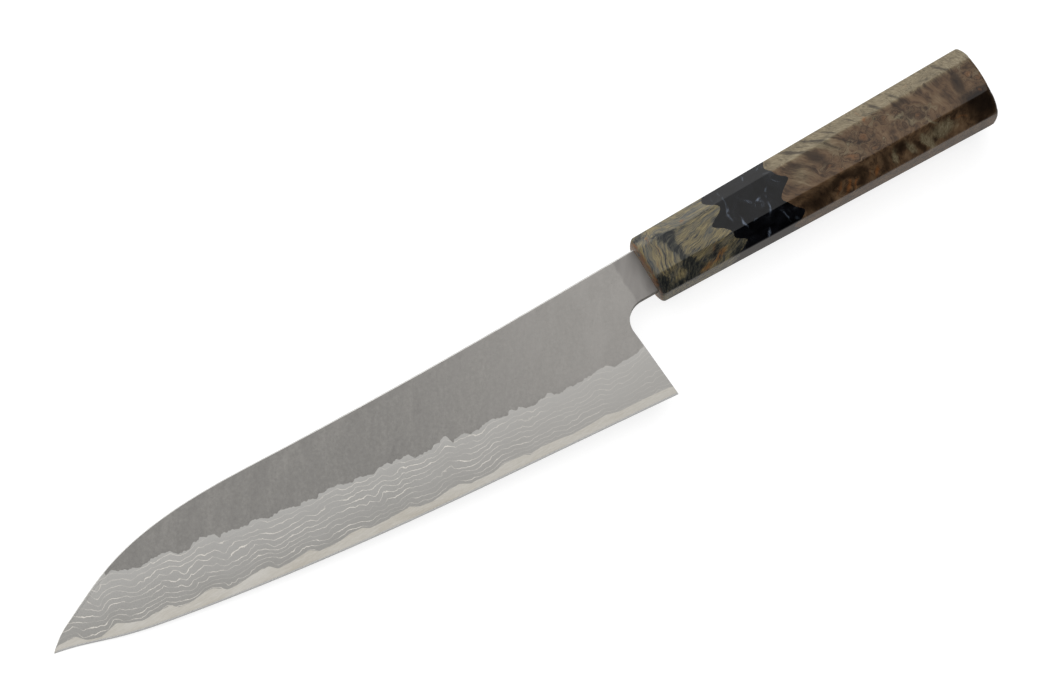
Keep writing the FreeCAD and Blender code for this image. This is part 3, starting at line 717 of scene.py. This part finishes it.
def rear_figure(points):
    """Dark, warm and pale marks of the rear burl, and its grain, which runs in rings round the eyes."""
    wander = ripple(points, 3.4, 0.9, 9.0) + ripple(points, 1.3, 0.5, 4.0)
    x, girth = unrolled(points)
    u, v = x + wander[..., 0], girth + wander[..., 1]
    uneven = 1 + 0.9 * ripple(points, 1.7, 1.0, 6.0)[..., 2]
    sap = rise(girth, 5.6, 0.7) * (0.75 + 0.25 * rise(x, 54.0, 3.0))
    dark = marks_at(x + 0.4 * wander[..., 0], girth + 0.4 * wander[..., 1], REAR_DARK)
    pale = sap + marks_at(u, v, REAR_PALE)
    lean = -50 - 26 * rise(x, 82.0, 2.5) - 24 * (1 - rise(girth, -6.5, 1.0))
    turn = np.radians(lean)
    along = (x - 82) * np.cos(turn) + girth * np.sin(turn)
    across = girth * np.cos(turn) - (x - 82) * np.sin(turn)
    for eye_x, eye_girth, radius in REAR_EYES:
        reach = np.hypot(0.8 * (u - eye_x) + 0.3 * (v - eye_girth), v - eye_girth) * uneven
        dark += 0.75 * np.exp(-((reach / radius - 0.55) / 0.15) ** 2)
        pale += 0.32 * np.exp(-((reach / radius - 0.95) / 0.25) ** 2)
        weight = 0.62 * np.exp(-(reach / radius) ** 2)
        along = along * (1 - weight) + weight * (eye_x + 3 * np.sin(np.arctan2(v - eye_girth, u - eye_x)))
        across = across * (1 - weight) + weight * 1.1 * reach
    marks = np.stack([dark, marks_at(u, v, REAR_WARM), pale], axis=-1)
    return marks, np.stack([along, across, points[..., 2]], axis=-1)


def resin_figure(points):
    """Pearl veils of the resin."""
    wander = ripple(points, 2.2, 0.7, 5.0)
    x, girth = unrolled(points)
    pearl = marks_at(x + wander[..., 0], girth + wander[..., 1], RESIN_PEARL)
    return np.stack([pearl, 0 * x, 0 * x], axis=-1), points.copy()


def tube(name, rings, material, node, record_slot, figure):
    """Closed piece whose section round the bore is a loop of rings."""
    shell = Shell()
    index = shell.add_points(np.array(rings))
    shell.extra["marks"], shell.extra["grain"] = figure(np.array(rings))
    count = len(rings)
    for i in range(count):
        for j in range(RING):
            k = (j + 1) % RING
            n = (i + 1) % count
            shell.quad(index[i, j], index[i, k], index[n, k], index[n, j])
    return shell.finish(name, [material], node, record_slot, sharp=28.0)


def build_handle(materials):
    """Front burl, resin and rear burl, each a closed piece round the dowel's bore."""
    front_wall, rear_wall = wall_ring(RESIN_START, FRONT_LUMPS), wall_ring(RESIN_END, REAR_LUMPS)
    ones = np.ones(RING)
    front_edge = FRONT_CHAMFER + FRONT_SAG * arris_share()
    butt_edge = HANDLE_LENGTH - BUTT_CHAMFER - BUTT_SAG * arris_share()
    tube("front_burl", chamfer_rows(0, FRONT_CHAMFER, FRONT_SAG, False)
         + side_rows(front_edge, front_wall, 80)
         + wall_rows(RESIN_START, FRONT_LUMPS, False)
         + [bore_ring(FRONT_WALL), slot_ring(FRONT_WALL), slot_ring(0)],
         materials["front_burl"], "front_burl_block", "front_burl", front_figure)
    tube("pearl_resin", side_rows(front_wall, rear_wall, 72)
         + wall_rows(RESIN_END, REAR_LUMPS, False) + wall_rows(RESIN_START, FRONT_LUMPS, True),
         materials["resin"], "resin_casting", "dark_resin", resin_figure)
    centre = bore_ring(BORE_END)
    centre[:, 1:] *= 0.001
    butt = outer_ring((HANDLE_LENGTH - BUTT_CHAMFER) * ones)
    butt_face = []
    for scale in (0.8, 0.4, 0.001):
        ring = butt.copy()
        ring[:, 0] = HANDLE_LENGTH
        ring[:, 1:] *= scale
        butt_face.append(ring)
    rings = (wall_rows(RESIN_END, REAR_LUMPS, True)
             + side_rows(rear_wall, butt_edge, 190)
             + chamfer_rows(HANDLE_LENGTH, BUTT_CHAMFER, BUTT_SAG, True) + butt_face)
    tube("rear_burl", [centre, bore_ring(BORE_END)] + rings, materials["rear_burl"],
         "rear_burl_block", "rear_burl", rear_figure)


# ---------------------------------------------------------------- materials
class Nodes:
    """Short way to write a node tree that ends in a Principled shader."""

    def __init__(self, name):
        self.material = bpy.data.materials.new(name)
        self.material.use_nodes = True
        self.tree = self.material.node_tree
        self.tree.nodes.clear()
        self.shader = self.tree.nodes.new("ShaderNodeBsdfPrincipled")
        output = self.tree.nodes.new("ShaderNodeOutputMaterial")
        self.tree.links.new(self.shader.outputs[0], output.inputs[0])

    def link(self, value, socket):
        if isinstance(value, bpy.types.NodeSocket):
            self.tree.links.new(value, socket)
        elif value is not None:
            socket.default_value = value

    def own(self):
        """Knife's own axes in millimetres."""
        return self.vector("own")

    def vector(self, name):
        node = self.tree.nodes.new("ShaderNodeAttribute")
        node.attribute_name = name
        return node.outputs["Vector"]

    def attribute(self, name):
        node = self.tree.nodes.new("ShaderNodeAttribute")
        node.attribute_name = name
        return node.outputs["Fac"]

    def mapped(self, vector, scale=(1, 1, 1), turn=(0, 0, 0), move=(0, 0, 0)):
        """Vector turned by degrees, then scaled and moved."""
        node = self.tree.nodes.new("ShaderNodeMapping")
        node.inputs["Rotation"].default_value = [math.radians(v) for v in turn]
        self.link(vector, node.inputs["Vector"])
        second = self.tree.nodes.new("ShaderNodeMapping")
        second.inputs["Scale"].default_value = scale
        second.inputs["Location"].default_value = move
        self.link(node.outputs[0], second.inputs["Vector"])
        return second.outputs[0]

    def noise(self, vector, scale, detail=3.0, rough=0.5, warp=0.0, color=False):
        node = self.tree.nodes.new("ShaderNodeTexNoise")
        self.link(vector, node.inputs["Vector"])
        node.inputs["Scale"].default_value = scale
        node.inputs["Detail"].default_value = detail
        node.inputs["Roughness"].default_value = rough
        node.inputs["Distortion"].default_value = warp
        return node.outputs["Color" if color else "Fac"]

    def place(self):
        """Object coordinates, in metres, for pieces without the knife's own axes."""
        return self.tree.nodes.new("ShaderNodeTexCoord").outputs["Object"]

    def math(self, operation, a, b=None):
        node = self.tree.nodes.new("ShaderNodeMath")
        node.operation = operation
        for value, socket in zip((a, b), node.inputs):
            self.link(value, socket)
        return node.outputs[0]

    def add(self, a, b):
        return self.math("ADD", a, b)

    def less(self, a, b):
        return self.math("SUBTRACT", a, b)

    def times(self, a, b):
        return self.math("MULTIPLY", a, b)

    def sway(self, value, field, amount):
        """Value shifted up and down by a noise field that swings round one half."""
        return self.add(value, self.times(self.less(field, 0.5), amount))

    def drifted(self, grain, own, size, move, reach):
        """Grain coordinates pushed about by a slow noise, in steps of a given reach."""
        swirl = self.noise(self.mapped(own, (size, size, size), move=move), 1.0, 2.0, 0.5, 0.0, True)
        push = self.vector_math("SCALE", self.vector_math("SUBTRACT", swirl, (0.5, 0.5, 0.5)), reach)
        return self.vector_math("ADD", grain, push)

    def vector_math(self, operation, a, b):
        node = self.tree.nodes.new("ShaderNodeVectorMath")
        node.operation = operation
        self.link(a, node.inputs[0])
        self.link(b, node.inputs["Scale" if operation == "SCALE" else 1])
        return node.outputs[0]

    def axis(self, vector, index):
        node = self.tree.nodes.new("ShaderNodeSeparateXYZ")
        self.link(vector, node.inputs[0])
        return node.outputs[index]

    def span(self, value, low, high, to_low=0.0, to_high=1.0):
        """Value eased from one range to another, and held at its ends."""
        node = self.tree.nodes.new("ShaderNodeMapRange")
        node.interpolation_type = "SMOOTHSTEP"
        for key, item in (("Value", value), ("From Min", low), ("From Max", high),
                          ("To Min", to_low), ("To Max", to_high)):
            self.link(item, node.inputs[key])
        return node.outputs["Result"]

    def ramp(self, value, stops):
        node = self.tree.nodes.new("ShaderNodeValToRGB")
        self.link(value, node.inputs[0])
        elements = node.color_ramp.elements
        elements[0].position, elements[0].color = stops[0][0], (*stops[0][1], 1)
        elements[1].position, elements[1].color = stops[-1][0], (*stops[-1][1], 1)
        for place, color in stops[1:-1]:
            elements.new(place).color = (*color, 1)
        return node.outputs[0]

    def mix(self, share, a, b):
        node = self.tree.nodes.new("ShaderNodeMix")
        node.data_type = "RGBA"
        self.link(share, node.inputs["Factor"])
        for value, key in ((a, 6), (b, 7)):
            if isinstance(value, tuple):
                value = (*value, 1)
            self.link(value, node.inputs[key])
        return node.outputs[2]

    def bump(self, height, strength, distance):
        node = self.tree.nodes.new("ShaderNodeBump")
        node.inputs["Strength"].default_value = strength
        node.inputs["Distance"].default_value = distance
        self.link(height, node.inputs["Height"])
        self.link(node.outputs[0], self.shader.inputs["Normal"])

    def finish(self, color, roughness, metallic=0.0, ior=1.25):
        self.link(color, self.shader.inputs["Base Color"])
        self.link(roughness, self.shader.inputs["Roughness"])
        self.shader.inputs["Metallic"].default_value = metallic
        self.shader.inputs["IOR"].default_value = ior
        return self.material


def forged_steel():
    """As-forged skin: dull grey, blotched, with slanting rub marks and fine pits."""
    n = Nodes("forged_skin")
    own = n.own()
    blotch = n.noise(n.mapped(own, (0.045, 0.13, 0.1), (0, 0, -52)), 1.0, 3.0, 0.6, 0.5)
    streak = n.noise(n.mapped(own, (0.14, 0.62, 0.9), (0, 0, -57)), 1.0, 4.0, 0.65, 0.8)
    rub = n.noise(n.mapped(own, (0.22, 3.0, 1.5), (0, 0, -64)), 1.0, 3.0, 0.6, 0.6)
    grain = n.noise(own, 0.9, 6.0, 0.72, 0.3)
    pits = n.span(n.noise(n.mapped(own, (0.9, 1.3, 0.9), (0, 0, -57)), 1.0, 2.0, 0.5), 0.23, 0.31)
    tone = n.add(n.times(blotch, 0.56), n.times(streak, 0.10))
    tone = n.add(tone, n.add(n.times(grain, 0.29), n.times(rub, 0.05)))
    color = n.ramp(tone, [(0.34, (0.132, 0.127, 0.121)), (0.50, (0.186, 0.180, 0.170)),
                          (0.66, (0.262, 0.253, 0.238))])
    near_neck = n.span(n.axis(own, 0), -110, -8)
    color = n.mix(near_neck, color, n.mix(0.45, color, (0.315, 0.302, 0.284)))
    matte = n.span(n.add(n.axis(own, 0), n.times(n.noise(own, 0.35), 1.6)), -7.4, -6.3)
    color = n.mix(matte, color, (0.205, 0.196, 0.186))
    color = n.mix(pits, n.mix(0.25, color, (0.09, 0.085, 0.08)), color)
    n.bump(n.add(n.times(streak, 0.6), n.times(grain, 0.4)), 0.25, 0.00006)
    return n.finish(color, n.span(blotch, 0.3, 0.7, 0.52, 0.62), 1.0)


def layered_steel():
    """Ground and etched layers: thin light lines that follow the weld, on matte grey."""
    n = Nodes("layered_bevel")
    own = n.own()
    share = n.attribute("layer")
    drift = n.noise(n.mapped(own, (0.07, 0.16, 0.2)), 1.0, 2.0, 0.5, 0.5)
    crest = n.noise(n.mapped(own, (0.155, 0.085, 0.2), (0, 0, 14), (5, 2, 0)), 1.0, 1.0, 0.5, 0.3)
    crest = n.math("ABSOLUTE", n.less(crest, 0.5))
    ripple = n.noise(n.mapped(own, (0.42, 0.40, 0.4), (0, 0, 12)), 1.0, 3.0, 0.6, 0.2)
    place = n.times(n.math("POWER", n.math("MAXIMUM", share, 0.001), 0.88), 9.4)
    place = n.add(place, n.times(drift, 2.0))
    place = n.add(place, n.times(crest, 2.5))
    place = n.add(place, n.times(ripple, 0.8))
    offset = n.math("ABSOLUTE", n.less(n.math("FRACT", place), 0.5))
    thickness = n.noise(n.mapped(own, (0.16, 0.3, 0.3), move=(9, 3, 0)), 1.0, 2.0)
    width = n.span(thickness, 0.35, 0.7, 0.05, 0.11)
    line = n.less(1.0, n.span(n.math("DIVIDE", offset, width), 0.30, 1.0))
    uneven = n.noise(n.mapped(own, (0.06, 0.40, 0.3), move=(2, 7, 0)), 1.0, 2.0)
    strength = n.span(uneven, 0.30, 0.62, 0.25, 1.0)
    faint_heel = n.span(n.axis(own, 0), -80, -22, 0.85, 0.35)
    faint_top = n.span(share, 0.88, 1.0, 1.0, 0.35)
    line = n.times(n.times(line, strength), n.times(faint_heel, faint_top))
    grain = n.noise(own, 2.2, 4.0, 0.65)
    cloud = n.noise(n.mapped(own, (0.06, 0.12, 0.1), move=(1, 4, 0)), 1.0, 3.0, 0.55)
    tone = n.add(n.times(share, 0.55), n.times(grain, 0.25))
    tone = n.add(tone, n.times(cloud, 0.30))
    base = n.ramp(tone, [(0.15, (0.205, 0.200, 0.188)), (0.50, (0.250, 0.245, 0.233)),
                         (0.95, (0.292, 0.287, 0.275))])
    base = n.mix(n.span(n.axis(own, 0), -120, -20), base, n.mix(0.5, base, (0.315, 0.306, 0.290)))
    color = n.mix(line, base, (0.425, 0.402, 0.364))
    n.bump(n.add(line, n.times(grain, 0.3)), 0.2, 0.00002)
    return n.finish(color, n.span(line, 0.0, 1.0, 0.50, 0.38), 1.0)


def core_metal():
    """Bare core steel: pale and satin, with soft cloudy patches along the edge."""
    n = Nodes("core_satin")
    own = n.own()
    cloud = n.noise(n.mapped(own, (0.035, 0.14, 0.3), move=(0.4, 0, 0)), 1.0, 2.0, 0.5, 0.3)
    fine = n.noise(n.mapped(own, (0.5, 3.0, 3.0)), 1.0, 3.0, 0.6)
    tone = n.add(n.times(cloud, 0.75), n.times(fine, 0.25))
    color = n.ramp(tone, [(0.32, (0.230, 0.213, 0.184)), (0.50, (0.302, 0.288, 0.260)),
                          (0.70, (0.375, 0.363, 0.339))])
    n.bump(fine, 0.12, 0.00002)
    return n.finish(color, n.span(cloud, 0.3, 0.7, 0.36, 0.46), 1.0)


def eased_spine():
    """Spine corners, rubbed bright by finishing."""
    n = Nodes("eased_spine")
    own = n.own()
    rub = n.noise(n.mapped(own, (0.25, 2.0, 2.0)), 1.0, 3.0, 0.6)
    color = n.ramp(rub, [(0.3, (0.40, 0.392, 0.376)), (0.7, (0.60, 0.592, 0.575))])
    n.bump(rub, 0.15, 0.00002)
    return n.finish(color, n.span(rub, 0.3, 0.7, 0.34, 0.46), 1.0)


def cutting_edge():
    """Narrow honed bevel, in a darker grey that is a painted dark reflection of the polished bevel."""
    n = Nodes("honed_edge")
    own = n.own()
    fine = n.noise(n.mapped(own, (1.2, 6.0, 6.0)), 1.0, 2.0, 0.5)
    # Painted reflection: this grey is darker than the core steel and stands in for the dark surround that
    # the polished bevel reflects.
    color = n.ramp(fine, [(0.3, (0.22, 0.219, 0.215)), (0.7, (0.30, 0.298, 0.292))])
    n.bump(fine, 0.1, 0.00002)
    return n.finish(color, n.span(fine, 0.3, 0.7, 0.26, 0.34), 1.0)


def front_burl():
    """Khaki burl with feathery blue-black figure and thin orange veins."""
    n = Nodes("front_burl_wood")
    own, grain, marks = n.own(), n.vector("grain"), n.vector("marks")
    grain = n.drifted(grain, own, 0.16, (3, 1, 4), 3.4)
    strand = n.noise(n.mapped(grain, (0.15, 1.2, 0.5)), 1.0, 6.0, 0.68)
    hair = n.noise(n.mapped(grain, (0.30, 4.0, 1.5), move=(3, 3, 3)), 1.0, 3.0, 0.6)
    cloud = n.noise(n.mapped(own, (0.30, 0.30, 0.30), move=(5, 2, 1)), 1.0, 3.0, 0.6)
    speck = n.noise(own, 1.3, 4.0, 0.7)
    tone = n.add(n.times(strand, 0.62), n.times(hair, 0.38))
    tan = n.ramp(tone, [(0.37, (0.016, 0.018, 0.022)), (0.45, (0.070, 0.067, 0.056)),
                        (0.52, (0.168, 0.138, 0.074)), (0.64, (0.285, 0.232, 0.120))])
    blue = n.ramp(tone, [(0.36, (0.004, 0.005, 0.006)), (0.48, (0.016, 0.018, 0.018)),
                         (0.58, (0.062, 0.060, 0.048)), (0.70, (0.15, 0.128, 0.078))])
    dark = n.sway(n.sway(n.axis(marks, 0), speck, 1.1), cloud, 0.9)
    ash = n.noise(n.mapped(grain, (0.07, 0.38, 0.3), move=(6, 2, 2)), 1.0, 3.0, 0.5)
    tan = n.mix(n.span(ash, 0.44, 0.60, 0.0, 0.75), tan, n.mix(0.55, tan, (0.080, 0.087, 0.088)))
    # Painted shade: the lower side toward the edge, below -4.6 mm, is darkened because it faces away from
    # the light.
    below = n.span(n.axis(own, 1), -4.6, -6.6, 0.0, 0.30)
    color = n.mix(n.span(n.add(dark, below), 0.15, 0.85), tan, blue)
    warm = n.times(n.axis(marks, 1), n.span(tone, 0.36, 0.58, 0.2, 1.0))
    color = n.mix(n.span(warm, 0.05, 0.75, 0.0, 0.75), color, (0.24, 0.105, 0.03))
    rim = n.times(n.span(n.axis(own, 0), 0.25, 0.7, 0.8, 0.0), n.span(cloud, 0.35, 0.6))
    color = n.mix(rim, color, (0.20, 0.085, 0.03))
    n.bump(strand, 0.04, 0.00003)
    return n.finish(color, n.span(speck, 0.3, 0.7, 0.10, 0.16))


def pearl_resin():
    """Near-black resin with thin drifting veils of blue-white pearl."""
    n = Nodes("pearl_resin_cast")
    own, marks = n.own(), n.vector("marks")
    veil = n.noise(n.mapped(own, (0.22, 0.22, 0.22)), 1.0, 3.0, 0.55, 0.6)
    thread = n.noise(n.mapped(own, (0.9, 0.5, 0.5), (0, 0, 12)), 1.0, 3.0, 0.6, 0.5)
    pearl = n.times(n.axis(marks, 0), n.span(thread, 0.30, 0.62, 0.15, 1.0))
    color = n.ramp(veil, [(0.35, (0.0008, 0.0008, 0.001)), (0.60, (0.004, 0.0043, 0.0055)),
                          (0.80, (0.030, 0.032, 0.037))])
    color = n.mix(n.span(pearl, 0.05, 0.9, 0.0, 0.85), color, (0.13, 0.155, 0.20))
    n.bump(veil, 0.02, 0.00002)
    return n.finish(color, n.span(veil, 0.3, 0.7, 0.07, 0.12))


def rear_burl():
    """Brown burl with ringed eyes, and pale spalted sapwood along the spine side."""
    n = Nodes("rear_burl_wood")
    own, grain, marks = n.own(), n.vector("grain"), n.vector("marks")
    grain = n.drifted(grain, own, 0.10, (8, 2, 6), 6.0)
    strand = n.noise(n.mapped(grain, (0.08, 0.46, 0.35)), 1.0, 5.0, 0.60)
    hair = n.noise(n.mapped(grain, (0.22, 2.2, 1.0), move=(3, 3, 3)), 1.0, 4.0, 0.65)
    cloud = n.noise(n.mapped(own, (0.20, 0.20, 0.20), move=(4, 2, 1)), 1.0, 3.0, 0.6, 0.3)
    speck = n.noise(own, 1.2, 3.0, 0.7)
    tone = n.add(n.times(strand, 0.50), n.times(hair, 0.20))
    tone = n.add(tone, n.times(cloud, 0.30))
    brown = n.ramp(tone, [(0.36, (0.020, 0.011, 0.006)), (0.44, (0.054, 0.032, 0.018)),
                          (0.51, (0.104, 0.062, 0.033)), (0.66, (0.184, 0.118, 0.066))])
    streaky = n.add(n.times(tone, 0.55), n.times(hair, 0.45))
    khaki = n.ramp(streaky, [(0.38, (0.058, 0.047, 0.028)), (0.45, (0.126, 0.101, 0.060)),
                             (0.52, (0.182, 0.148, 0.090)), (0.62, (0.240, 0.199, 0.126))])
    pale = n.sway(n.axis(marks, 2), strand, 0.8)
    color = n.mix(n.span(pale, 0.15, 0.95), brown, khaki)
    # Painted shade: besides the dark figure marks, the lower side toward the edge, below -4.6 mm, is
    # darkened because it faces away from the light.
    dark = n.add(n.sway(n.axis(marks, 0), speck, 0.5), n.span(n.axis(own, 1), -4.6, -6.8, 0.0, 0.26))
    color = n.mix(n.span(dark, 0.10, 1.0, 0.0, 0.92), color, n.mix(0.78, color, (0.012, 0.0065, 0.0035)))
    color = n.mix(n.span(dark, 1.0, 1.9, 0.0, 0.8), color, (0.007, 0.0045, 0.003))
    warm = n.times(n.axis(marks, 1), n.span(tone, 0.40, 0.58, 0.35, 1.0))
    color = n.mix(n.span(warm, 0.05, 0.95, 0.0, 0.62), color, (0.20, 0.075, 0.022))
    n.bump(strand, 0.04, 0.00003)
    return n.finish(color, n.span(speck, 0.3, 0.7, 0.10, 0.16))


def raw_dowel():
    """Plain straight-grained softwood."""
    n = Nodes("dowel_wood")
    grain = n.noise(n.mapped(n.place(), (60, 1400, 1400)), 1.0, 4.0, 0.6)
    color = n.ramp(grain, [(0.3, (0.38, 0.26, 0.14)), (0.7, (0.62, 0.47, 0.29))])
    n.bump(grain, 0.3, 0.0001)
    return n.finish(color, n.span(grain, 0.3, 0.7, 0.6, 0.75))


def cured_epoxy():
    """Amber glue, slightly cloudy."""
    n = Nodes("cured_epoxy")
    cloud = n.noise(n.mapped(n.place(), (400, 400, 400)), 1.0, 3.0, 0.6)
    color = n.ramp(cloud, [(0.3, (0.20, 0.15, 0.07)), (0.7, (0.34, 0.27, 0.14))])
    n.bump(cloud, 0.2, 0.0001)
    return n.finish(color, n.span(cloud, 0.3, 0.7, 0.3, 0.45))


def pale_floor():
    """White light-table paper, so that the background keeps only a trace of shadow."""
    n = Nodes("white_paper")
    fleck = n.noise(n.place(), 900.0, 2.0)
    color = n.ramp(fleck, [(0.3, (0.26, 0.26, 0.26)), (0.7, (0.28, 0.28, 0.28))])
    n.bump(fleck, 0.05, 0.0001)
    n.shader.inputs["Emission Color"].default_value = (1, 1, 1, 1)
    n.shader.inputs["Emission Strength"].default_value = 0.86
    return n.finish(color, 0.8)


# ---------------------------------------------------------------- stage
VIEW_TURN, VIEW_RISE = -30.257, 74.613      # degrees, measured in the knife's own axes
VIEW_TARGET = (-45.21, -3.28, 0.0)
VIEW_DISTANCE, VIEW_LENS = 1454.2, 158.58


def add_camera():
    """Camera at the photographed angle, given in the knife's own axes."""
    turn, rise = math.radians(VIEW_TURN), math.radians(VIEW_RISE)
    back = Vector((math.sin(turn) * math.cos(rise), -math.cos(turn) * math.cos(rise), math.sin(rise)))
    right = Vector((math.cos(turn), math.sin(turn), 0))
    up = back.cross(right)
    rotation = PLACE.to_3x3().normalized() @ Matrix((right, up, back)).transposed()
    data = bpy.data.cameras.new("camera")
    data.lens, data.sensor_width = VIEW_LENS, 36.0
    data.clip_start, data.clip_end = 0.05, 20.0
    camera = bpy.data.objects.new("camera", data)
    place = PLACE @ (Vector(VIEW_TARGET) + back * VIEW_DISTANCE)
    camera.matrix_world = Matrix.Translation(place) @ rotation.to_4x4()
    bpy.context.scene.collection.objects.link(camera)
    bpy.context.scene.camera = camera


def add_panel(name, place, aim, size, power):
    """Soft box of a given width and height, turned to face a point."""
    data = bpy.data.lights.new(name, "AREA")
    data.shape = "RECTANGLE"
    data.size, data.size_y = size
    data.energy = power
    light = bpy.data.objects.new(name, data)
    light.location = place
    light.rotation_euler = (Vector(aim) - Vector(place)).to_track_quat("-Z", "Y").to_euler()
    bpy.context.scene.collection.objects.link(light)


def add_floor():
    """White floor. Gloss sees the surround in its place, so that its own light doesn't flood the knife."""
    work = bmesh.new()
    bmesh.ops.create_grid(work, x_segments=8, y_segments=8, size=4.0)
    mesh = bpy.data.meshes.new("floor")
    work.to_mesh(mesh)
    work.free()
    mesh.materials.append(pale_floor())
    floor = bpy.data.objects.new("floor", mesh)
    bpy.context.scene.collection.objects.link(floor)
    floor.visible_glossy = False


def add_surround():
    """World light by height: pale below the horizon and dark above it."""
    world = bpy.data.worlds.new("surround")
    world.use_nodes = True
    tree = world.node_tree
    height = tree.nodes.new("ShaderNodeSeparateXYZ")
    tree.links.new(tree.nodes.new("ShaderNodeTexCoord").outputs["Generated"], height.inputs[0])
    share = tree.nodes.new("ShaderNodeMapRange")
    share.inputs["From Min"].default_value = -1.0
    tree.links.new(height.outputs[2], share.inputs["Value"])
    bands = tree.nodes.new("ShaderNodeValToRGB")
    tree.links.new(share.outputs[0], bands.inputs[0])
    low, high = bands.color_ramp.elements
    low.position, low.color = 0.06, (0.40, 0.38, 0.36, 1)
    high.position, high.color = 0.57, (0.035, 0.035, 0.038, 1)
    for place, level in ((0.25, 0.60), (0.38, 1.30), (0.48, 1.0)):
        bands.color_ramp.elements.new(place).color = (level, level, level, 1)
    tree.links.new(bands.outputs[0], tree.nodes["Background"].inputs["Color"])
    bpy.context.scene.world = world


def paint_node(name, material):
    """Give a carried-over solid its procedural material."""
    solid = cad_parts[name]
    solid.data.materials.clear()
    solid.data.materials.append(material)


build_blade({"layers": layered_steel(), "forged": forged_steel(), "core": core_metal(),
             "edge": cutting_edge(), "spine": eased_spine()})
build_handle({"front_burl": front_burl(), "resin": pearl_resin(), "rear_burl": rear_burl()})
paint_node("tang_dowel", raw_dowel())
paint_node("epoxy_bed", cured_epoxy())
add_floor()
add_panel("overhead", (0.1, 1.0, 2.2), (0, 0.1, 0), (4.4, 3.4), 100.0)
add_panel("far_side", (0.0, 2.9, 0.9), (0, 0, 0.1), (3.8, 1.5), 24.0)
add_surround()
bpy.context.scene.view_settings.view_transform = "Standard"
add_camera()
